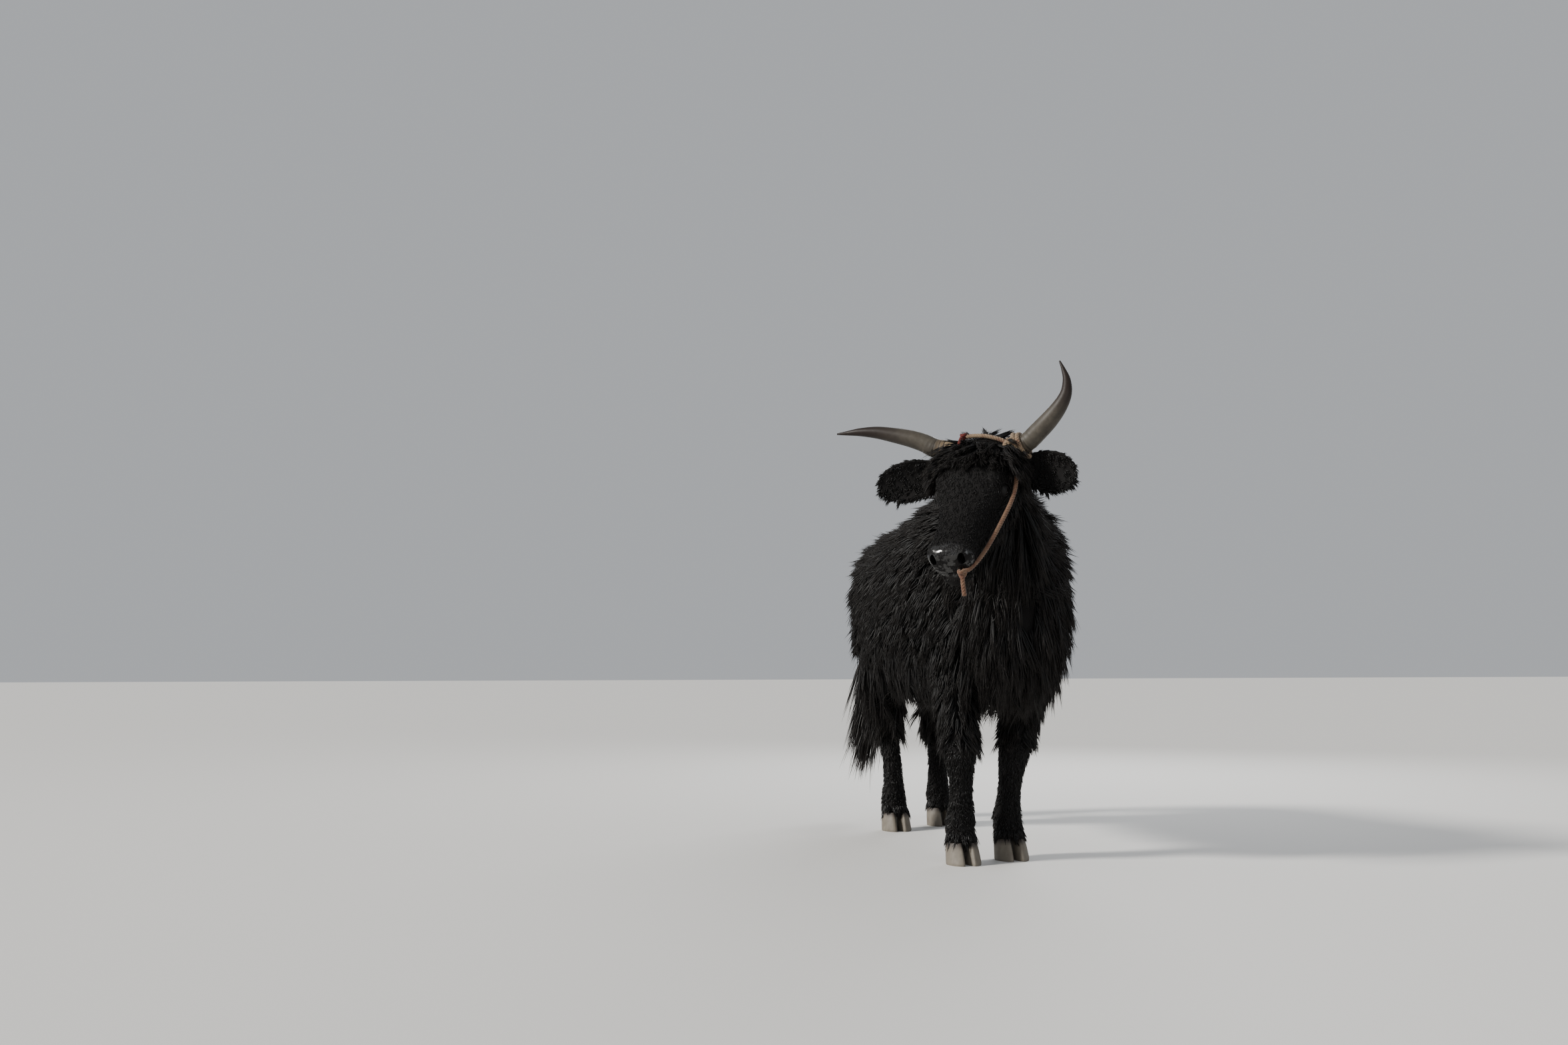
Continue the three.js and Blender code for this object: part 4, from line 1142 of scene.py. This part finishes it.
def hornFinish():
    g = Graph("horn")
    along = g.attribute("along")
    fibre = g.noise(60, 4, 0.6)
    cloud = g.noise(14, 3)
    low = g.between(0.36, 0.72, along)
    body = g.mix(fibre, (0.030, 0.026, 0.020), (0.085, 0.074, 0.058))
    body = g.mix(g.between(0.35, 0.7, cloud) * 0.6, body, (0.026, 0.022, 0.019))
    band = g.mix(fibre, (0.115, 0.078, 0.045), (0.21, 0.16, 0.10))
    root = g.mix(g.between(0.10, 0.24, along + fibre * 0.06 - 0.03), band, body)
    tip = g.mix(fibre, (0.006, 0.005, 0.0048), (0.015, 0.013, 0.012))
    colour = g.mix(g.between(0.72, 0.93, along + cloud * 0.1 - 0.05), root, tip)
    colour = g.mix(low * 0.94, colour, (0.012, 0.007, 0.0055))
    for place in hornSetup["darkRings"]:
        off = along + fibre * 0.008 - 0.004 - place
        ring = (1 - g.between(0.0, 0.00007, off * off)) * 0.8
        colour = g.mix(ring, colour, (0.016, 0.012, 0.009))
    height = g.noise(900, 3, 0.6) * 0.3 + fibre
    return g.finish(colour=colour, roughness=0.42 + fibre * 0.16,
                    normal=g.bump(height, 0.0007, 0.6), specular=0.22)


hornMaterial = hornFinish()
for sideName, rows in horns.items():
    spots = np.array([(*byPoll(h, left, rise), radius) for h, left, rise, radius in rows])
    t = np.linspace(0, len(rows) - 1, hornSetup["steps"] + 1)
    line = curveAt(spots, t)
    along, side, other = frameAlong(line[:, :3])
    share = np.linspace(0, 1, len(line))
    fade = np.clip(1 - share / hornSetup["ringEnd"], 0, 1)
    wave = np.sin(share / hornSetup["ringEnd"] * hornSetup["rings"] * 2 * math.pi)
    radius = line[:, 3] + fade * hornSetup["ringHeight"] * (0.6 * wave + 0.4 * np.abs(wave))
    angles = fullTurn(hornSetup["around"])
    bm = bmesh.new()
    tag = bm.verts.layers.float.new("along")
    across, rise = np.cos(angles)[:, None], np.sin(angles)[:, None]
    loft(bm, [line[i, :3] + radius[i] * (across * side[i] + rise * other[i])
              for i in range(len(line))], tag)
    dress(objectOf(bm, f"horn_{sideName}_shell"), hornMaterial, "horn", f"horn_{sideName}")
print("horns made")


hoofSetup = {
    "length": 0.122, "width": 0.056, "split": 0.007, "height": 0.076, "around": 36,
    "toe": 0.32,  # how much narrower a claw is at its toe
    "outer": 0.72, "inner": 0.28,  # shares of the width beside the claw's middle
    "rows": (  # height, size, and how far back the claw's middle lies
        (0.0, 0.985, 0.001), (0.003, 1.0, 0.0015), (0.012, 1.0, 0.003), (0.045, 0.93, 0.014),
        (0.066, 0.855, 0.0215), (0.076, 0.80, 0.025),
    ),
}


def clawRing(z, scale, back, side):
    angles = fullTurn(hoofSetup["around"])
    ahead, out = np.cos(angles), np.sin(angles)
    long = hoofSetup["length"] / 2 * scale
    narrow = np.where(ahead > 0, 1 - hoofSetup["toe"] * ahead**2, 1)
    wide = hoofSetup["width"] * scale * narrow
    inner = out * wide * hoofSetup["inner"] + out * 0.002
    across = np.where(out > 0, out * wide * hoofSetup["outer"], inner)
    middle = hoofSetup["width"] * hoofSetup["inner"] + hoofSetup["split"] / 2 + 0.002
    return np.stack((ahead * long - back, side * (middle + across), np.full(len(angles), z)), 1)


def hoofFinish():
    g = Graph("hoof")
    streak = g.noise(55, 4, 0.6, stretch=(1, 1, 0.18))
    band = g.noise(70, 2, 0.5, stretch=(0.05, 0.05, 1))
    dirt = g.noise(24, 4)
    height = g.add("ShaderNodeSeparateXYZ", {}, {"Vector": g.coords()}, 2)
    horn = g.mix(streak, (0.085, 0.072, 0.056), (0.19, 0.168, 0.134))
    horn = g.mix(g.between(0.45, 0.75, dirt) * 0.5, horn, (0.075, 0.06, 0.045))
    colour = g.mix(g.between(0.056, 0.078, height + dirt * 0.012), horn, (0.045, 0.036, 0.030))
    return g.finish(colour=colour, roughness=0.52 + dirt * 0.2,
                    normal=g.bump(band + streak * 0.5, 0.0012, 0.7), specular=0.4)


hoofMaterial = hoofFinish()
for legName, leg in legs.items():
    footX, footY = leg["foot"]
    for side, sideName in ((-1, "right"), (1, "left")):
        rows = np.array(hoofSetup["rows"])
        t = np.linspace(0, len(rows) - 1, 26)
        shape = curveAt(rows, t)
        shape[:, 0] = np.clip(shape[:, 0], 0, hoofSetup["height"])
        bm = bmesh.new()
        loft(bm, [clawRing(z, scale, back, side) + (footX, footY, 0) for z, scale, back in shape])
        claw = objectOf(bm, f"claw_{legName}_{sideName}")
        dress(claw, hoofMaterial, "hoof", f"hoof_{legName}_{sideName}_claw")
dewclaw = {"behind": 0.084, "apart": 0.027, "height": 0.112, "sizes": (0.014, 0.013, 0.020)}
bm = bmesh.new()
for leg in legs.values():
    footX, footY = leg["foot"]
    for side in (-1, 1):
        spot = (footX - dewclaw["behind"], footY + side * dewclaw["apart"], dewclaw["height"])
        ball(bm, spot, dewclaw["sizes"], Matrix())
dress(objectOf(bm, "dewclaws"), hoofMaterial, "hoof")
print("hooves made")


ropeSetup = {"pitch": 0.030, "strands": 3, "step": 0.0022, "strandOut": 0.46,
             "strandRadius": 0.56, "endRadius": 0.2}


def ropeFinish(name, light, dark, stain):
    g = Graph(name)
    fibre = g.noise(420, 4, 0.7)
    dirt = g.noise(38, 3)
    colour = g.mix(fibre, dark, light)
    colour = g.mix(g.between(0.42, 0.72, dirt) * 0.7, colour, stain)
    return g.finish(colour=colour, roughness=0.86, normal=g.bump(fibre, 0.0012, 0.8), specular=0.25,
                    sheen=0.15, sheenRoughness=0.5)


def evenLine(points, step):
    # a smooth line through points, at even steps
    fine = curveAt(points, np.linspace(0, len(points) - 1, 400))
    far = np.concatenate(([0], np.cumsum(np.linalg.norm(np.diff(fine, axis=0), axis=1))))
    want = np.linspace(0, far[-1], max(8, int(far[-1] / step)))
    return np.stack([np.interp(want, far, fine[:, i]) for i in range(3)], 1), want


def twistedRope(curve, points, radius):
    line, far = evenLine(points, ropeSetup["step"])
    along, side, other = frameAlong(line)
    for k in range(ropeSetup["strands"]):
        angle = far / ropeSetup["pitch"] * 2 * math.pi + k * 2 * math.pi / ropeSetup["strands"]
        swing = np.cos(angle)[:, None] * side + np.sin(angle)[:, None] * other
        spots = line + swing * radius * ropeSetup["strandOut"]
        spline = curve.splines.new("POLY")
        spline.points.add(len(spots) - 1)
        thick = np.ones(len(spots)) * radius * ropeSetup["strandRadius"]
        thick[0] = thick[-1] = radius * ropeSetup["endRadius"]
        for point, spot, size in zip(spline.points, spots, thick):
            point.co = (*spot, 1)
            point.radius = size


def ropePiece(name, runs, material, slot, *nodes):
    curve = bpy.data.curves.new(name, "CURVE")
    curve.dimensions = "3D"
    curve.bevel_depth = 1.0
    curve.bevel_resolution = 2
    curve.use_fill_caps = True
    for points, radius in runs:
        twistedRope(curve, np.array(points), radius)
    holder = linked(name + "_line", curve)
    mesh = settledMesh(holder)
    bpy.data.objects.remove(holder)
    mesh.transform(Matrix.Translation(bodyShift))
    mesh.name = name
    dress(linked(name, mesh), material, slot, *nodes)


def hornTurn(at, tilt, radius=0.042):
    # a turn of rope round the left horn's root, a little over a full one
    place = (
        levelFrame
        @ Matrix.Translation((0.002, at, 0.014))
        @ Matrix.Rotation(math.radians(22), 4, "X")
        @ Matrix.Rotation(math.pi / 2 + tilt, 4, "Z")
        @ Matrix.Rotation(math.pi / 2, 4, "Y")
    )
    angles = np.radians(np.linspace(0, 362, 20))
    return [
        np.array(place @ Vector((math.cos(a) * radius, math.sin(a) * radius, 0))) for a in angles
    ]


ropeColours = {  # light fibres, dark fibres, stain
    "rope": ((0.27, 0.20, 0.13), (0.12, 0.08, 0.045), (0.10, 0.036, 0.022)),
    "cord": ((0.19, 0.115, 0.07), (0.075, 0.036, 0.02), (0.075, 0.022, 0.013)),
    "ribbon": ((0.16, 0.020, 0.014), (0.08, 0.010, 0.008), (0.05, 0.012, 0.009)),
}
ropeFinishes = {name: ropeFinish(name, *colours) for name, colours in ropeColours.items()}


def coil(centre, sizes, beat, count):
    # a line wound twice round a point of the head, which makes a lumpy knot
    (along, left, out), (a, b, c) = centre, sizes
    turns = np.linspace(0, 4 * math.pi, count)
    return [
        onHead(along + a * math.cos(t * beat), left + b * math.sin(t), out + c * math.cos(t))
        for t in turns
    ]


def runOnHead(*places):
    return [onHead(*place) for place in places]


ropePiece(
    "halter_rope",
    [
        (hornTurn(0.136, 0.06), 0.0088),
        (hornTurn(0.155, -0.06), 0.0088),
        (coil((0.014, 0.120, 0.040), (0.013, 0.014, 0.012), 2.2, 40), 0.0078),
        (runOnHead((0.016, 0.116, 0.044), (0.008, 0.088, 0.058), (0.002, 0.044, 0.073),
                   (-0.004, 0, 0.076), (-0.008, -0.034, 0.072)), 0.0078),
    ],
    ropeFinishes["rope"], "rope", "horn_rope",
)
ropePiece(
    "nose_rope",
    [
        (runOnHead((0.052, 0.146, 0.004), (0.110, 0.152, -0.016), (0.190, 0.148, -0.044),
                   (0.300, 0.122, -0.064), (0.420, 0.092, -0.072), (0.500, 0.066, -0.066),
                   (0.524, 0.044, -0.058)), 0.0078),
        (coil((0.528, 0.040, -0.062), (0.008, 0.010, 0.010), 2, 32), 0.0072),
        (runOnHead((0.530, 0.042, -0.062), (0.560, 0.046, -0.080), (0.590, 0.050, -0.106)), 0.0078),
    ],
    ropeFinishes["cord"], "rope", "nose_cord",
)
ropePiece(
    "red_ribbon",
    [
        (coil((-0.009, -0.044, 0.076), (0.006, 0.008, 0.007), 2, 28), 0.006),
        (runOnHead((-0.009, -0.044, 0.076), (0.008, -0.048, 0.080), (0.032, -0.050, 0.076)), 0.006),
    ],
    ropeFinishes["ribbon"], "ribbon", "ribbon",
)
print("ropes made")

bm = bmesh.new()
bmesh.ops.create_grid(bm, x_segments=1, y_segments=1, size=40)
floor = objectOf(bm, "floor", smooth=False, shift=False)
floorGraph = Graph("floor")
floor.data.materials.append(floorGraph.finish(colour=(0.62, 0.61, 0.59, 1), roughness=0.8))
floor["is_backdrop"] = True

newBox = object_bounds()
print("done", [round(v, 3) for corner in (*cadBox, *newBox) for v in corner])
